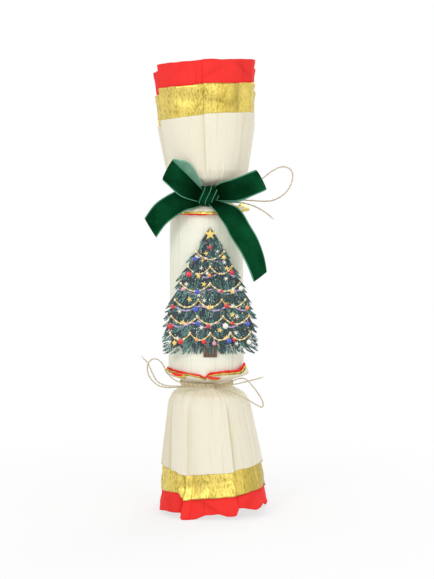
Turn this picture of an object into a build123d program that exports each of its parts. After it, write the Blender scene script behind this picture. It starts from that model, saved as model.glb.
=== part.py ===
"""Christmas cracker, standing upright on the hem of its lower frill.

A card barrel in a crepe sleeve sits between two frilled ends. Each end is a tube of three
crepe layers, red inside gold inside cream, drawn in by twine to a neck just past the barrel.
The short side of each tube flares into a collar round the barrel, the long side into a frill.
A gathered lining closes each neck round the snap, whose two strips overlap in the barrel.
A velvet ribbon is tied in a bow round the upper neck, and a die-cut card tree is glued to the
front of the barrel. Pulling the ends draws both frills off the barrel along its axis.

Millimetres. +Z runs up the barrel's axis, -Y is the front, and z = 0 is the lower hem.
A bearing is an angle round the axis in degrees, 0 at the front and positive to the right.
"""

from build123d import *
import os
from collections import namedtuple
from math import cos, degrees, hypot, pi, radians, sin, sqrt, tan

# Barrel
barrel_diameter = 50.0
barrel_length = 110.4
sleeve_thickness = 0.4
tube_wall = 0.6
tube_lap = 14.0
glue_gap = 0.05

# Frilled ends, as distances from the middle of the neck
barrel_rise = 6.8
neck_radius = 17.0
neck_band_height = 4.8
ribbon_room = 6.6
collar_gap = 0.4
collar_flare = 0.4
collar_depth = 6.8
shoulder_drop = 4.5
shoulder_radius = 24.5
bell_drop = 10.5
bell_radius = 28.0
flank_drop = 50.0
lower_flank_radius = 33.6
lower_hem_radius = 38.8
upper_flank_radius = 32.6
upper_hem_radius = 37.2
cream_drop = 56.0
lower_gold_drop = 71.5
lower_red_drop = 86.5
upper_gold_drop = 75.5
upper_red_drop = 91.0
collar_edge_red = 9.2
collar_edge_step = 1.2
lower_lean = 5.2
upper_lean = -1.2
lower_hem_tilt = 3.4
upper_hem_tilt = 3.6

# Crepe layers and their pleats
layer_pitch = 1.1
crepe_thickness = 0.45
pleat_low_share = 0.96
fold_width = 3.0
wide_pleat = 40.0
hem_trim = 2.0
lower_creases = (-168, -140, -112, -82, -43, -21, 27, 58, 85, 112, 138, 165)
upper_creases = (-170, -142, -118, -92, -67, -34, 0, 45, 72, 98, 125, 152)

# Lining inside each neck
lining_folds = 12
lining_low_share = 0.93
lining_thickness = 0.4
lining_floor_thickness = 0.5
lining_tuck = 6.0
lining_floor_gap = 0.6
lining_neck_length = 3.0
lining_tail = 20.0
lining_tail_radius = 13.0

# Snap
snap_width = 9.0
snap_thickness = 0.5
snap_length = 280.0
snap_overlap = 32.0
snap_band_length = 22.0
snap_band_wall = 0.3
slide_gap = 0.3

# Twine
twine_diameter = 1.2
wrap_turns = 2
wrap_pitch = 1.75
wrap_gap = 0.3
twine_sides = 4
knot_length = 4.4
knot_depth = 3.0
knot_height = 4.6
knot_chamfer = 1.0
lower_knot_bearing = 19.0
upper_knot_bearing = 33.0

# Velvet ribbon
ribbon_width = 15.0
ribbon_thickness = 0.9
ribbon_band_height = 5.6
ribbon_band_sides = 40
ribbon_steps = 4
ribbon_band_gap = 0.3
bow_knot_length = 15.4
bow_knot_height = 11.6
bow_knot_depth = 9.0
bow_knot_chamfer = 2.2
bow_knot_drop = 2.4

# Die-cut tree
scrap_width = 62.0
scrap_height = 86.0
scrap_thickness = 0.5
scrap_curve_radius = 110.0
scrap_rise = 13.2
scrap_shift = 2.6
trunk_width = 9.0
trunk_height = 6.0
bough_tiers = 7
bough_depth = 5.0
bough_droop = 4.5
base_boughs = 3
base_rise = 9.0
glue_pad_width = 9.0
glue_pad_height = 58.0
glue_pad_depth = 0.8

# Contents
contents_gap = 0.3
contents_rise = 2.0
hat_length = 82.0
hat_turns = 2
hat_core_radius = 4.8
hat_wrap_pitch = 1.8
hat_paper = 0.8
hat_bearing = 146.0
motto_length = 60.0
motto_turns = 2
motto_core_radius = 2.0
motto_wrap_pitch = 0.8
motto_paper = 0.4
motto_bearing = -152.0
top_radius = 10.5
top_thickness = 9.0
top_height = 32.0
top_sides = 16
spindle_radius = 2.0
spindle_fit = 0.05

# Places that follow from the sizes above
barrel_radius = barrel_diameter / 2
tube_outer = barrel_radius - sleeve_thickness - glue_gap
tube_inner = tube_outer - tube_wall
lower_neck_z = lower_red_drop
barrel_bottom = lower_neck_z + barrel_rise
barrel_top = barrel_bottom + barrel_length
upper_neck_z = barrel_top + barrel_rise
middle_z = (barrel_bottom + barrel_top) / 2
lining_bore = hypot(snap_width / 2, snap_thickness + slide_gap) + slide_gap
twine_radius = twine_diameter / 2
wrap_radius = neck_radius + wrap_gap + twine_radius


def at_bearing(radius, bearing, z=0.0):
    """Point at a radius and bearing round the axis."""
    angle = radians(bearing)
    return Vector(radius * sin(angle), -radius * cos(angle), z)


def export(part, name):
    """Label a finished piece and write its STEP file."""
    part.label = name
    export_step(part, f"parts/{name}.step")


def faceted(rings, warped=False):
    """Solid of flat sides through rings of points; the sides between warped rings are cut in two."""
    faces = [Face(Wire.make_polygon(rings[0])), Face(Wire.make_polygon(rings[-1]))]
    for ring, following in zip(rings, rings[1:]):
        for i in range(len(ring)):
            a, b, c, d = ring[i - 1], ring[i], following[i], following[i - 1]
            sides = ((a, b, c), (a, c, d)) if warped else ((a, b, c, d),)
            faces += [Face(Wire.make_polygon(side)) for side in sides]
    return Solid(Shell(faces))


os.makedirs("parts", exist_ok=True)

# Barrel tube: one sheet of card rolled up, its inner edge lapped behind the outer one
lap_angle = degrees(tube_lap / tube_inner)
tube_middle = tube_outer - tube_wall / 2
lap_middle = tube_middle - tube_wall - glue_gap
seam_direction = 180
with BuildPart() as barrel_tube:
    with BuildSketch(Plane.XY.offset(barrel_bottom)):
        with BuildLine():
            CenterArc((0, 0), tube_middle, seam_direction, 359)
        trace(line_width=tube_wall)
        with BuildLine():
            CenterArc((0, 0), lap_middle, seam_direction, -lap_angle)
        trace(line_width=tube_wall)
        with BuildLine():
            Line((-lap_middle + tube_wall / 2, 0), (-tube_outer, 0))
        trace(line_width=tube_wall)
    extrude(amount=barrel_length)
export(barrel_tube.part, "barrel_tube")

# Barrel sleeve: cream crepe round the tube
with BuildPart() as barrel_sleeve:
    with BuildSketch(Plane.XY.offset(barrel_bottom)):
        Circle(barrel_radius)
        Circle(tube_outer + glue_gap, mode=Mode.SUBTRACT)
    extrude(amount=barrel_length)
export(barrel_sleeve.part, "barrel_sleeve")


# Frill layers: every section of a layer is the same pleated outline, scaled and shifted

def pleats(creases):
    """Corners of the pleated outline as bearings and shares of its radius, pleat by pleat."""
    corners = []
    for crease, following in zip(creases, (*creases[1:], creases[0] + 360)):
        high, low = crease + fold_width / 2, following - fold_width / 2
        corners.append((high, 1))
        if low - high > wide_pleat:
            corners.append(((high + low) / 2, (1 + pleat_low_share) / 2))
        corners.append((low, pleat_low_share))
    return corners


def least_share(corners):
    """Distance from the axis to the nearest side of a pleated outline, as a share of its radius."""
    sides = zip(corners, (*corners[1:], corners[0]))
    return min(
        min(share, other) * cos(radians((following - bearing) % 360 / 2))
        for (bearing, share), (following, other) in sides
    )


def pleated(end, corners, rows):
    """Solid through pleated outlines, each at a distance from the neck and with a radius."""
    rings = []
    for distance, radius in rows:
        middle = Vector(end.lean * max(distance, 0), 0, end.neck_z + end.way * distance)
        rings.append([middle + at_bearing(radius * share, bearing) for bearing, share in corners])
    return faceted(rings)


def radius_at(rows, distance):
    """Radius on the straight line between the rows on either side of a distance."""
    for (near, near_radius), (far, far_radius) in zip(rows, rows[1:]):
        if distance <= far:
            break
    return near_radius + (far_radius - near_radius) * (distance - near) / (far - near)


End = namedtuple("End", "neck_z way lean corners red_drop neck_end flank_radius hem_radius")
half_neck = neck_band_height / 2
lower_end = End(
    lower_neck_z, -1, lower_lean / lower_red_drop, pleats(lower_creases), lower_red_drop, half_neck,
    lower_flank_radius, lower_hem_radius,
)
upper_end = End(
    upper_neck_z, 1, upper_lean / upper_red_drop, pleats(upper_creases), upper_red_drop,
    half_neck + ribbon_room, upper_flank_radius, upper_hem_radius,
)


def frill(end, layer, drop, tilt):
    """One crepe layer, from the edge of its collar, through the neck, to its hem."""
    collar_radius = (
        (barrel_radius + collar_gap) / least_share(end.corners) + 2 * layer_pitch + crepe_thickness
    )
    outline = (
        (-collar_edge_red, collar_radius + collar_flare),
        (-collar_depth, collar_radius),
        (-half_neck, neck_radius),
        (end.neck_end, neck_radius),
        (end.neck_end + shoulder_drop, shoulder_radius),
        (end.neck_end + bell_drop, bell_radius),
        (flank_drop, end.flank_radius),
        (end.red_drop, end.hem_radius),
    )
    edge = (2 - layer) * collar_edge_step - collar_edge_red
    reach = drop + hem_trim + end.hem_radius * tan(radians(tilt))
    stops = [edge, *(distance for distance, radius in outline if edge < distance < reach), reach]
    outer = [(stop, radius_at(outline, stop) - layer * layer_pitch) for stop in stops]
    inner = [(stop, radius - crepe_thickness) for stop, radius in outer]
    with BuildPart() as layer_part:
        add(pleated(end, end.corners, outer))
        add(pleated(end, end.corners, inner), mode=Mode.SUBTRACT)
        hem = Plane((0, 0, end.neck_z + end.way * drop)).rotated((0, -tilt, 0))
        split(bisect_by=hem, keep=Keep.BOTTOM if end.way > 0 else Keep.TOP)
    return layer_part.part


export(frill(lower_end, 0, cream_drop, lower_hem_tilt), "lower_frill_cream")
export(frill(lower_end, 1, lower_gold_drop, lower_hem_tilt), "lower_frill_gold")
export(frill(lower_end, 2, lower_red_drop, 0), "lower_frill_red")
export(frill(upper_end, 0, cream_drop, upper_hem_tilt), "upper_frill_cream")
export(frill(upper_end, 1, upper_gold_drop, upper_hem_tilt), "upper_frill_gold")
export(frill(upper_end, 2, upper_red_drop, upper_hem_tilt), "upper_frill_red")


# Lining of each end: tucked into the tube, drawn in round the snap, flared again past the neck

def lining(end):
    step = 360 / lining_folds
    gathers = []
    for i in range(lining_folds):
        gathers += [(i * step, 1), ((i + 0.5) * step, lining_low_share)]
    tuck_radius = tube_inner - tube_wall - glue_gap - slide_gap
    neck_bore = lining_bore / least_share(gathers)
    tuck_end = -barrel_rise - lining_tuck
    floor = lining_floor_gap - barrel_rise
    neck_start = -lining_neck_length / 2
    tail_end = end.neck_end + lining_tail
    bore_rows = (
        (tuck_end, tuck_radius - lining_thickness),
        (floor - lining_floor_thickness, tuck_radius - lining_thickness),
        (neck_start - lining_floor_thickness, neck_bore),
        (end.neck_end, neck_bore),
        (tail_end, lining_tail_radius - lining_thickness),
    )
    outer_rows = (
        (tuck_end, tuck_radius),
        (floor, tuck_radius),
        (neck_start, neck_bore + lining_thickness),
        (end.neck_end, neck_bore + lining_thickness),
        (tail_end, lining_tail_radius),
    )
    with BuildPart() as lining_part:
        add(pleated(end, gathers, outer_rows))
        add(pleated(end, gathers, bore_rows), mode=Mode.SUBTRACT)
    return lining_part.part


export(lining(lower_end), "lower_lining")
export(lining(upper_end), "upper_lining")

# Snap: two card strips that overlap in the barrel, and the paper sleeve round the overlap
lower_snap_bottom = middle_z - snap_length / 2
lower_snap_top = middle_z + snap_overlap / 2
upper_snap_bottom = middle_z - snap_overlap / 2
upper_snap_top = middle_z + snap_length / 2
strip_offset = (slide_gap + snap_thickness) / 2


def snap_strip(y, bottom, top):
    with BuildPart() as strip:
        with BuildSketch(Plane.XY.offset(bottom)):
            with Locations((0, y)):
                Rectangle(snap_width, snap_thickness)
        extrude(amount=top - bottom)
    return strip.part


export(snap_strip(-strip_offset, lower_snap_bottom, lower_snap_top), "snap_strip_lower")
export(snap_strip(strip_offset, upper_snap_bottom, upper_snap_top), "snap_strip_upper")

band_inner_width = snap_width + 2 * slide_gap
band_inner_depth = 2 * snap_thickness + 3 * slide_gap
with BuildPart() as snap_band:
    with BuildSketch(Plane.XY.offset(middle_z - snap_band_length / 2)):
        Rectangle(band_inner_width + 2 * snap_band_wall, band_inner_depth + 2 * snap_band_wall)
        Rectangle(band_inner_width, band_inner_depth, mode=Mode.SUBTRACT)
    extrude(amount=snap_band_length)
export(snap_band.part, "snap_band")


# Twine: two turns round each neck, a knot, and the loops and ends that stand free

def biarc(start, start_way, end, end_way):
    """Joint of the two arcs that leave start along its way and reach end, and the way through it."""
    gap = end - start
    ways = start_way + end_way
    bend = 2 * (1 - start_way.dot(end_way))
    reach = (sqrt(gap.dot(ways) ** 2 + bend * gap.dot(gap)) - gap.dot(ways)) / bend
    corner, next_corner = start + start_way * reach, end - end_way * reach
    return (corner + next_corner) * 0.5, next_corner - corner


def twine_section(route):
    with BuildSketch(Plane(origin=route @ 0, z_dir=route % 0)) as section:
        RegularPolygon(twine_radius, twine_sides)
    return section.sketch


def least_gap(route):
    """Least gap between turns of a winding, measured on points along it."""
    count = 120 * wrap_turns
    points = [route @ (i / count) for i in range(count + 1)]
    apart = count // (2 * wrap_turns)
    return min(
        (a - b).length for i, a in enumerate(points) for b in points[i + apart:]
    ) - twine_diameter


def twine_wrap(name, neck_z, knot_bearing):
    """Turns of twine round a neck, from one side of the knot to the other."""
    half_knot = degrees(knot_length / 2 / wrap_radius)
    first = knot_bearing + half_knot
    turned = 360 * wrap_turns - 2 * half_knot
    quarters = 4 * wrap_turns
    climb = wrap_pitch * turned / 360
    slope = wrap_pitch / (2 * pi * wrap_radius)

    def station(k):
        bearing = first + turned * k / quarters
        place = at_bearing(wrap_radius, bearing, neck_z - climb / 2 + climb * k / quarters)
        angle = radians(bearing)
        return place, Vector(cos(angle), sin(angle), slope).normalized()

    stations = [station(k) for k in range(quarters + 1)]
    with BuildPart() as wrap:
        with BuildLine() as path:
            start, way = stations[0]
            Line(start - way * twine_diameter, start)
            for (before, way), (after, onward) in zip(stations, stations[1:]):
                joint, through = biarc(before, way, after, onward)
                TangentArc(before, joint, tangent=way)
                TangentArc(joint, after, tangent=through)
            end, way = stations[-1]
            Line(end, end + way * twine_diameter)
        route = path.wire()
        sweep(sections=twine_section(route), path=route)
    print(name, "least gap", round(least_gap(route), 2))
    export(wrap.part, name)


def twine_knot(neck_z, bearing):
    """Knot seated over the turns."""
    place = at_bearing(neck_radius + wrap_gap + knot_depth / 2, bearing, neck_z)
    with BuildPart() as knot:
        with Locations(Location(place, (0, 0, bearing))):
            Box(knot_length, knot_depth, knot_height)
        chamfer(knot.edges(), knot_chamfer)
    return knot.part, place


def corner_radii(points):
    """Bend radius at each inner point of a route, from its turn and its shorter run."""
    radii = []
    for before, here, after in zip(points, points[1:], points[2:]):
        turn = radians((here - before).get_angle(after - here))
        radii.append(0.45 * min((here - before).length, (after - here).length) / tan(turn / 2))
    return radii


def twine_stretch(name, knot, offsets):
    """Free twine from the knot, through points given from the knot's middle."""
    points = [knot + Vector(*offset) for offset in offsets]
    radii = corner_radii(points)
    print(name, "bend radii", [round(radius, 1) for radius in radii])
    with BuildPart() as stretch:
        with BuildLine() as path:
            FilletPolyline(*points, radius=radii)
        route = path.wire()
        sweep(sections=twine_section(route), path=route)
    export(stretch.part, name)


lower_knot_part, lower_knot = twine_knot(lower_neck_z, lower_knot_bearing)
upper_knot_part, upper_knot = twine_knot(upper_neck_z, upper_knot_bearing)
export(lower_knot_part, "lower_twine_knot")
export(upper_knot_part, "upper_twine_knot")
twine_wrap("lower_twine_wrap", lower_neck_z, lower_knot_bearing)
twine_wrap("upper_twine_wrap", upper_neck_z, upper_knot_bearing)

twine_stretch("lower_twine_loop_left", lower_knot, (
    (-1.4, -0.7, -1.3), (-9.3, -3.4, -1.2), (-18.6, -2.5, -1.3), (-26.6, 0.5, -1.7),
    (-34.1, 4.3, -2.1), (-40.3, 6.8, -0.3), (-44.9, 7.8, 4.7), (-46.5, 7.8, 10.5),
    (-45.0, 7.3, 15.5), (-41.1, 6.3, 17.8), (-37.1, 4.8, 16.1), (-34.2, 1.8, 12.0),
    (-31.4, -1.2, 6.9), (-25.3, -4.4, 3.1), (-17.1, -4.7, 2.1), (-8.7, -4.2, 1.9),
    (-1.3, -0.8, 1.4),
))
twine_stretch("lower_twine_end_left", lower_knot, (
    (-1.0, -1.3, 0.0), (-9.1, -4.1, 0.4), (-18.1, -4.0, 0.5), (-26.1, -1.0, 0.1),
    (-33.4, 2.0, -0.6), (-39.1, 3.6, 1.8), (-42.1, 4.0, 6.7), (-44.3, 4.2, 12.0),
    (-46.7, 4.4, 16.1), (-49.8, 4.6, 18.5),
))
twine_stretch("lower_twine_loop_right", lower_knot, (
    (1.4, 0.7, 0.8), (7.9, -0.8, 1.7), (14.2, 1.4, 2.9), (19.9, 5.2, 2.5),
    (25.2, 7.8, -1.6), (29.3, 8.6, -7.0), (32.1, 8.0, -12.2), (31.1, 5.8, -14.9),
    (27.5, 3.8, -13.1), (21.9, 0.4, -9.5), (15.4, -2.8, -5.9), (8.1, -3.6, -3.0),
    (1.6, 0.1, -1.4),
))
twine_stretch("lower_twine_end_right", lower_knot, (
    (1.7, -0.5, -0.1), (7.5, -3.5, 0.5), (14.7, -2.8, 1.5), (20.9, -0.4, 2.8),
    (26.5, 2.2, 4.3), (30.3, 3.8, 5.9),
))
twine_stretch("upper_twine_loop", upper_knot, (
    (1.5, 0.4, -0.2), (9.8, 1.0, -0.2), (18.3, 2.2, -0.1), (26.3, 3.2, -0.9),
    (33.4, 3.8, -0.7), (39.6, 3.8, 2.0), (44.4, 3.8, 6.5), (47.2, 3.8, 12.5),
    (47.7, 3.8, 17.8), (45.0, 3.8, 21.6), (39.8, 3.8, 22.5), (33.9, 3.8, 19.7),
    (27.8, 3.4, 14.9), (21.0, 2.8, 9.3), (13.3, 1.8, 4.7), (6.2, 0.8, 2.3),
    (1.2, 1.0, 1.4),
))
twine_stretch("upper_twine_end", upper_knot, (
    (1.7, 0.0, -1.5), (8.8, -0.6, -1.6), (16.6, -0.8, -2.1), (23.0, -0.8, -4.6),
    (28.4, -1.0, -7.7), (32.6, -1.2, -10.9), (35.0, -1.3, -13.3),
))

# Velvet ribbon: a band round the upper neck, the bow's knot, two loops and two tails
ribbon_band_bottom = upper_neck_z + knot_height / 2 + ribbon_band_gap
ribbon_band_inner = neck_radius + ribbon_band_gap
ribbon_band_outer = ribbon_band_inner + ribbon_thickness
with BuildPart() as ribbon_band:
    with BuildSketch(Plane.XY.offset(ribbon_band_bottom)):
        RegularPolygon(ribbon_band_outer, ribbon_band_sides)
        RegularPolygon(ribbon_band_inner, ribbon_band_sides, mode=Mode.SUBTRACT)
    extrude(amount=ribbon_band_height)
export(ribbon_band.part, "ribbon_band")

bow_back = max(ribbon_band_outer, wrap_radius + twine_radius) + ribbon_band_gap / 2
bow_middle = Vector(
    0, -bow_back - bow_knot_depth / 2, ribbon_band_bottom + ribbon_band_height / 2 - bow_knot_drop
)
knot_rings = []
for along, scale in ((-0.5, 0.7), (-0.28, 0.92), (0, 1), (0.28, 0.92), (0.5, 0.7)):
    y, z = bow_knot_depth / 2 * scale, bow_knot_height / 2 * scale
    cut = bow_knot_chamfer * scale
    outline = ((y, z - cut), (y - cut, z), (cut - y, z), (-y, z - cut))
    outline += tuple((-corner_y, -corner_z) for corner_y, corner_z in outline)
    knot_rings.append([
        bow_middle + Vector(along * bow_knot_length, corner_y, corner_z) for corner_y, corner_z in outline
    ])
with BuildPart() as ribbon_knot:
    add(faceted(knot_rings))
export(ribbon_knot.part, "ribbon_knot")


def smooth(rows, steps):
    """Points on the smooth curve through rows of numbers, evenly stepped between each pair."""
    padded = [rows[0], *rows, rows[-1]]
    points = []
    for p0, p1, p2, p3 in zip(padded, padded[1:], padded[2:], padded[3:]):
        for k in range(steps):
            t = k / steps
            points.append([
                b + t * ((c - a) / 2 + t * (a - 2.5 * b + 2 * c - d / 2 + t * (1.5 * (b - c) + (d - a) / 2)))
                for a, b, c, d in zip(p0, p1, p2, p3)
            ])
    return points + [rows[-1]]


def ribbon_stretch(name, stations):
    """Ribbon through stations: place from the bow's middle, direction across, share of the width."""
    sections = smooth([(*place, *across, share) for place, across, share in stations], ribbon_steps)
    places = [bow_middle + Vector(*row[:3]) for row in sections]
    rings = []
    for i, row in enumerate(sections):
        along = places[min(i + 1, len(places) - 1)] - places[max(i - 1, 0)]
        across = Vector(*row[3:6]).normalized()
        out = along.cross(across).normalized() * (ribbon_thickness / 2)
        half = across * (ribbon_width / 2 * row[6])
        rings.append([places[i] + corner for corner in (half + out, out - half, -half - out, half - out)])
    with BuildPart() as stretch:
        add(faceted(rings, warped=True))
        add(ribbon_knot.part, mode=Mode.SUBTRACT)
    export(stretch.part, name)


ribbon_stretch("ribbon_loop_left", (
    ((-4.0, -4.3, 0.0), (-3, 0, -9), 0.6), ((-13.6, -11.4, 6.2), (-5, 0, -14), 1.0),
    ((-20.5, -12.5, 12.4), (-7, 0, -13), 1.0), ((-25.2, -9.6, 17.2), (-7.2, 0, -13), 1.0),
    ((-20.6, -7.0, 16.8), (-7, 0, -13), 1.0), ((-12.8, -6.4, 14.0), (-5, 0, -13), 0.95),
    ((-4.0, -0.6, 3.8), (-3, 0, -9), 0.55),
))
ribbon_stretch("ribbon_loop_right", (
    ((4.0, -1.8, 0.8), (1, 0, -9), 0.58), ((19.5, -7.6, 3.0), (4, 0, -13.5), 1.0),
    ((31.5, -8.6, 8.0), (6, 0, -13), 1.0), ((36.4, -6.8, 10.4), (6.6, 0, -12.6), 0.98),
    ((31.5, -5.0, 8.0), (6, 0, -13), 1.0), ((19.5, -3.8, 3.2), (4, 0, -13), 1.0),
    ((4.0, 1.2, 0.8), (1, 0, -9), 0.58),
))
ribbon_stretch("ribbon_tail_left", (
    ((-4.0, 0.6, -3.4), (3, 0, -9), 0.5), ((-9.5, -6.0, -3.8), (4, 0, -12), 0.75),
    ((-16.5, -7.4, -3.6), (5.5, 0, -13), 0.95), ((-25.2, -5.8, -8.4), (8, 0, -12.7), 1.0),
    ((-31.2, -3.4, -13.4), (8, 0, -12.7), 1.0), ((-37.0, -1.0, -21.4), (8.1, 0, -13.3), 1.0),
))
ribbon_stretch("ribbon_tail_right", (
    ((4.0, -3.2, -4.2), (8, 0, 4), 0.38), ((10.0, -9.1, -7.8), (9, 0, 4.5), 0.66),
    ((13.9, -9.4, -11.2), (11, 0, 6), 0.9), ((18.0, -9.4, -16.3), (12.2, 0, 7.6), 1.0),
    ((21.8, -9.0, -22.8), (12.6, 1, 8.2), 1.0), ((28.3, -8.4, -32.6), (11.4, 4, 9), 1.0),
    ((33.0, -7.8, -43.4), (10.4, 7.5, 6.5), 1.0), ((35.9, -7.2, -53.2), (9, 10.3, 6.2), 1.0),
))

# Die-cut tree: tiers of short boughs under a pointed arch, on a stub of trunk, gently bent
scrap_back = barrel_radius + glue_pad_depth
scrap_bottom = barrel_bottom + scrap_rise


def tree_side(side):
    """Edge of the tree from its top down one side, in under the boughs, to the trunk's foot."""
    crown = scrap_height - trunk_height - base_rise
    points = [(0, scrap_height)]
    for tier in range(1, bough_tiers + 1):
        share = tier / bough_tiers
        half_width = scrap_width / 2 * sin(share * pi / 2)
        tip_height = scrap_height - crown * share
        points.append((side * half_width, tip_height))
        points.append((side * (half_width - bough_depth), tip_height + bough_droop * share))
    for bough in range(1, base_boughs + 1):
        share = bough / (base_boughs + 1)
        reach = scrap_width / 2 * (1 - share)
        foot = trunk_height * (1 - share / 2)
        points.append((side * (reach + bough_depth / 2), foot))
        points.append((side * (reach - bough_depth / 2), trunk_height + bough_droop / 2))
    half_trunk = side * trunk_width / 2
    return points + [(half_trunk, trunk_height), (half_trunk, 0)]


with BuildPart() as tree_scrap:
    with BuildSketch(Plane((scrap_shift, 0, scrap_bottom), x_dir=(1, 0, 0), z_dir=(0, -1, 0))):
        with BuildLine():
            Polyline(*tree_side(-1), *reversed(tree_side(1)[1:]), close=True)
        make_face()
    extrude(amount=2 * scrap_back)
    with BuildSketch(Plane.XY.offset(scrap_bottom)):
        with Locations((0, scrap_curve_radius - scrap_back)):
            Circle(scrap_curve_radius + scrap_thickness)
            Circle(scrap_curve_radius, mode=Mode.SUBTRACT)
    extrude(amount=scrap_height, mode=Mode.INTERSECT)
export(tree_scrap.part, "tree_scrap")

with BuildPart() as scrap_glue_pad:
    with BuildSketch(Plane.XY.offset(scrap_bottom + (scrap_height - glue_pad_height) / 2)):
        with Locations((0, -scrap_back)):
            Rectangle(glue_pad_width, barrel_radius)
        with Locations((0, scrap_curve_radius - scrap_back)):
            Circle(scrap_curve_radius, mode=Mode.INTERSECT)
        Circle(barrel_radius, mode=Mode.SUBTRACT)
    extrude(amount=glue_pad_height)
export(scrap_glue_pad.part, "scrap_glue_pad")

# Contents: rolled hat, rolled motto and a spinning top, along the tube's wall
contents_bottom = barrel_bottom + lining_tuck + contents_rise


def wall_place(outer_radius, bearing):
    """Foot of an upright item whose outer radius rests along the wall of the tube."""
    return at_bearing(tube_inner - contents_gap - outer_radius, bearing, contents_bottom)


def paper_roll(foot, bearing, core_radius, pitch, turns, paper, length):
    """Rolled paper, a spiral of half turns that grow by half the pitch, its free edge to the wall."""
    with BuildPart() as roll:
        with BuildSketch(Plane(Location(foot, (0, 0, bearing - 90)))):
            for half in range(2 * turns):
                with BuildLine():
                    CenterArc((pitch / 2 * (half % 2), 0), core_radius + half * pitch / 2, 180 * half, 180)
                trace(line_width=paper)
        extrude(amount=length)
    return roll.part


hat_radius = hat_core_radius + hat_turns * hat_wrap_pitch + hat_paper / 2
hat_foot = wall_place(hat_radius, hat_bearing)
export(
    paper_roll(
        hat_foot, hat_bearing, hat_core_radius, hat_wrap_pitch, hat_turns, hat_paper, hat_length
    ),
    "paper_hat",
)

motto_radius = motto_core_radius + motto_turns * motto_wrap_pitch + motto_paper / 2
motto_foot = wall_place(motto_radius, motto_bearing)
export(
    paper_roll(
        motto_foot, motto_bearing, motto_core_radius, motto_wrap_pitch, motto_turns, motto_paper,
        motto_length,
    ),
    "motto_slip",
)

top_foot = wall_place(top_radius, 0)
top_waist = (top_height - top_thickness) / 2
top_rows = (
    (0, spindle_radius * 1.5), (0.55, top_radius), (0.75, top_radius), (1, spindle_radius * 2),
)
with BuildPart() as gift_top_body:
    add(faceted([
        [
            top_foot + at_bearing(radius, 360 / top_sides * side, top_waist + top_thickness * share)
            for side in range(top_sides)
        ]
        for share, radius in top_rows
    ]))
    with Locations(top_foot):
        Cylinder(
            spindle_radius + spindle_fit, top_height, align=(Align.CENTER, Align.CENTER, Align.MIN),
            mode=Mode.SUBTRACT,
        )
export(gift_top_body.part, "gift_top_body")

with BuildPart() as gift_top_spindle:
    with BuildSketch(Plane.XY.offset(top_foot.Z)):
        with Locations((top_foot.X, top_foot.Y)):
            Circle(spindle_radius)
    extrude(amount=top_height)
    chamfer(gift_top_spindle.faces().sort_by(Axis.Z)[0].edges(), spindle_radius * 0.7)
export(gift_top_spindle.part, "gift_top_spindle")
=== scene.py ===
"""Christmas cracker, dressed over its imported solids.

The frame is in metres: +Z runs up the barrel, -Y is the front and z = 0 is the floor.
Shapes are worked out in millimetres and turned into metres where a mesh is made.
A bearing is an angle round the barrel's axis in degrees, 0 at the front, positive to the right.
"""

import math
from collections import namedtuple
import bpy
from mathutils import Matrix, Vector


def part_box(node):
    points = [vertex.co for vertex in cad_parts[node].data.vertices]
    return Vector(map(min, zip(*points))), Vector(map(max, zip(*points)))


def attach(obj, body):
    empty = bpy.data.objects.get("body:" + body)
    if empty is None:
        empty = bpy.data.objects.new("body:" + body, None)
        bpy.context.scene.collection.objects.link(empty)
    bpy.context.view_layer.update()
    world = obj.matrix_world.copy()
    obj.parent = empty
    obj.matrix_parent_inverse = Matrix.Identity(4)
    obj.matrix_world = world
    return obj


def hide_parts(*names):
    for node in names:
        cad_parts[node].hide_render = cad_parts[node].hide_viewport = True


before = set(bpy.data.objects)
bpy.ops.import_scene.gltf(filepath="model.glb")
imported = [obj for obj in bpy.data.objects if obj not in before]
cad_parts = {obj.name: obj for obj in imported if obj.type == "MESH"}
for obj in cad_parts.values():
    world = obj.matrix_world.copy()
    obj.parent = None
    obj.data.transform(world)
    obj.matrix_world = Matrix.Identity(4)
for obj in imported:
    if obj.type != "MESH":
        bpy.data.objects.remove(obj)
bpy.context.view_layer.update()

from types import SimpleNamespace

import bpy
import numpy as np
from mathutils import Vector

MM = 0.001
scene = bpy.context.scene


def middle(node_name):
    """Middle of a solid's box, in millimetres."""
    low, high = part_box(node_name)
    return np.array((low + high) / 2) / MM


def corners(node_name):
    """Low and high corner of a solid's box, in millimetres."""
    return tuple(np.array(corner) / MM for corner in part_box(node_name))


knots = {end: middle(f"{end}_twine_knot") for end in ("lower", "upper")}
bow_middle = middle("ribbon_knot")
barrel_low, barrel_high = corners("barrel_sleeve")
barrel_radius = barrel_high[0]


# Camera

picture_height_px = 579
focal_px = 1351
camera_place = (0.0071, -0.917, 0.210)
camera_dip = 3.755
camera_data = bpy.data.cameras.new("camera")
camera_data.sensor_fit = "VERTICAL"
camera_data.sensor_height = 24
camera_data.lens = camera_data.sensor_height * focal_px / picture_height_px
camera = bpy.data.objects.new("camera", camera_data)
camera.location = camera_place
camera.rotation_euler = (math.radians(90 - camera_dip), 0, 0)
scene.collection.objects.link(camera)
scene.camera = camera


# Mesh helpers

def grid_faces(rows, columns, start=0, flip=False):
    """Quads between the points of a grid that is held row by row."""
    corner = start + np.arange(rows * columns).reshape(rows, columns)
    quads = np.stack(
        (corner[:-1, :-1], corner[:-1, 1:], corner[1:, 1:], corner[1:, :-1]), axis=-1
    ).reshape(-1, 4)
    return quads[:, ::-1] if flip else quads


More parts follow.
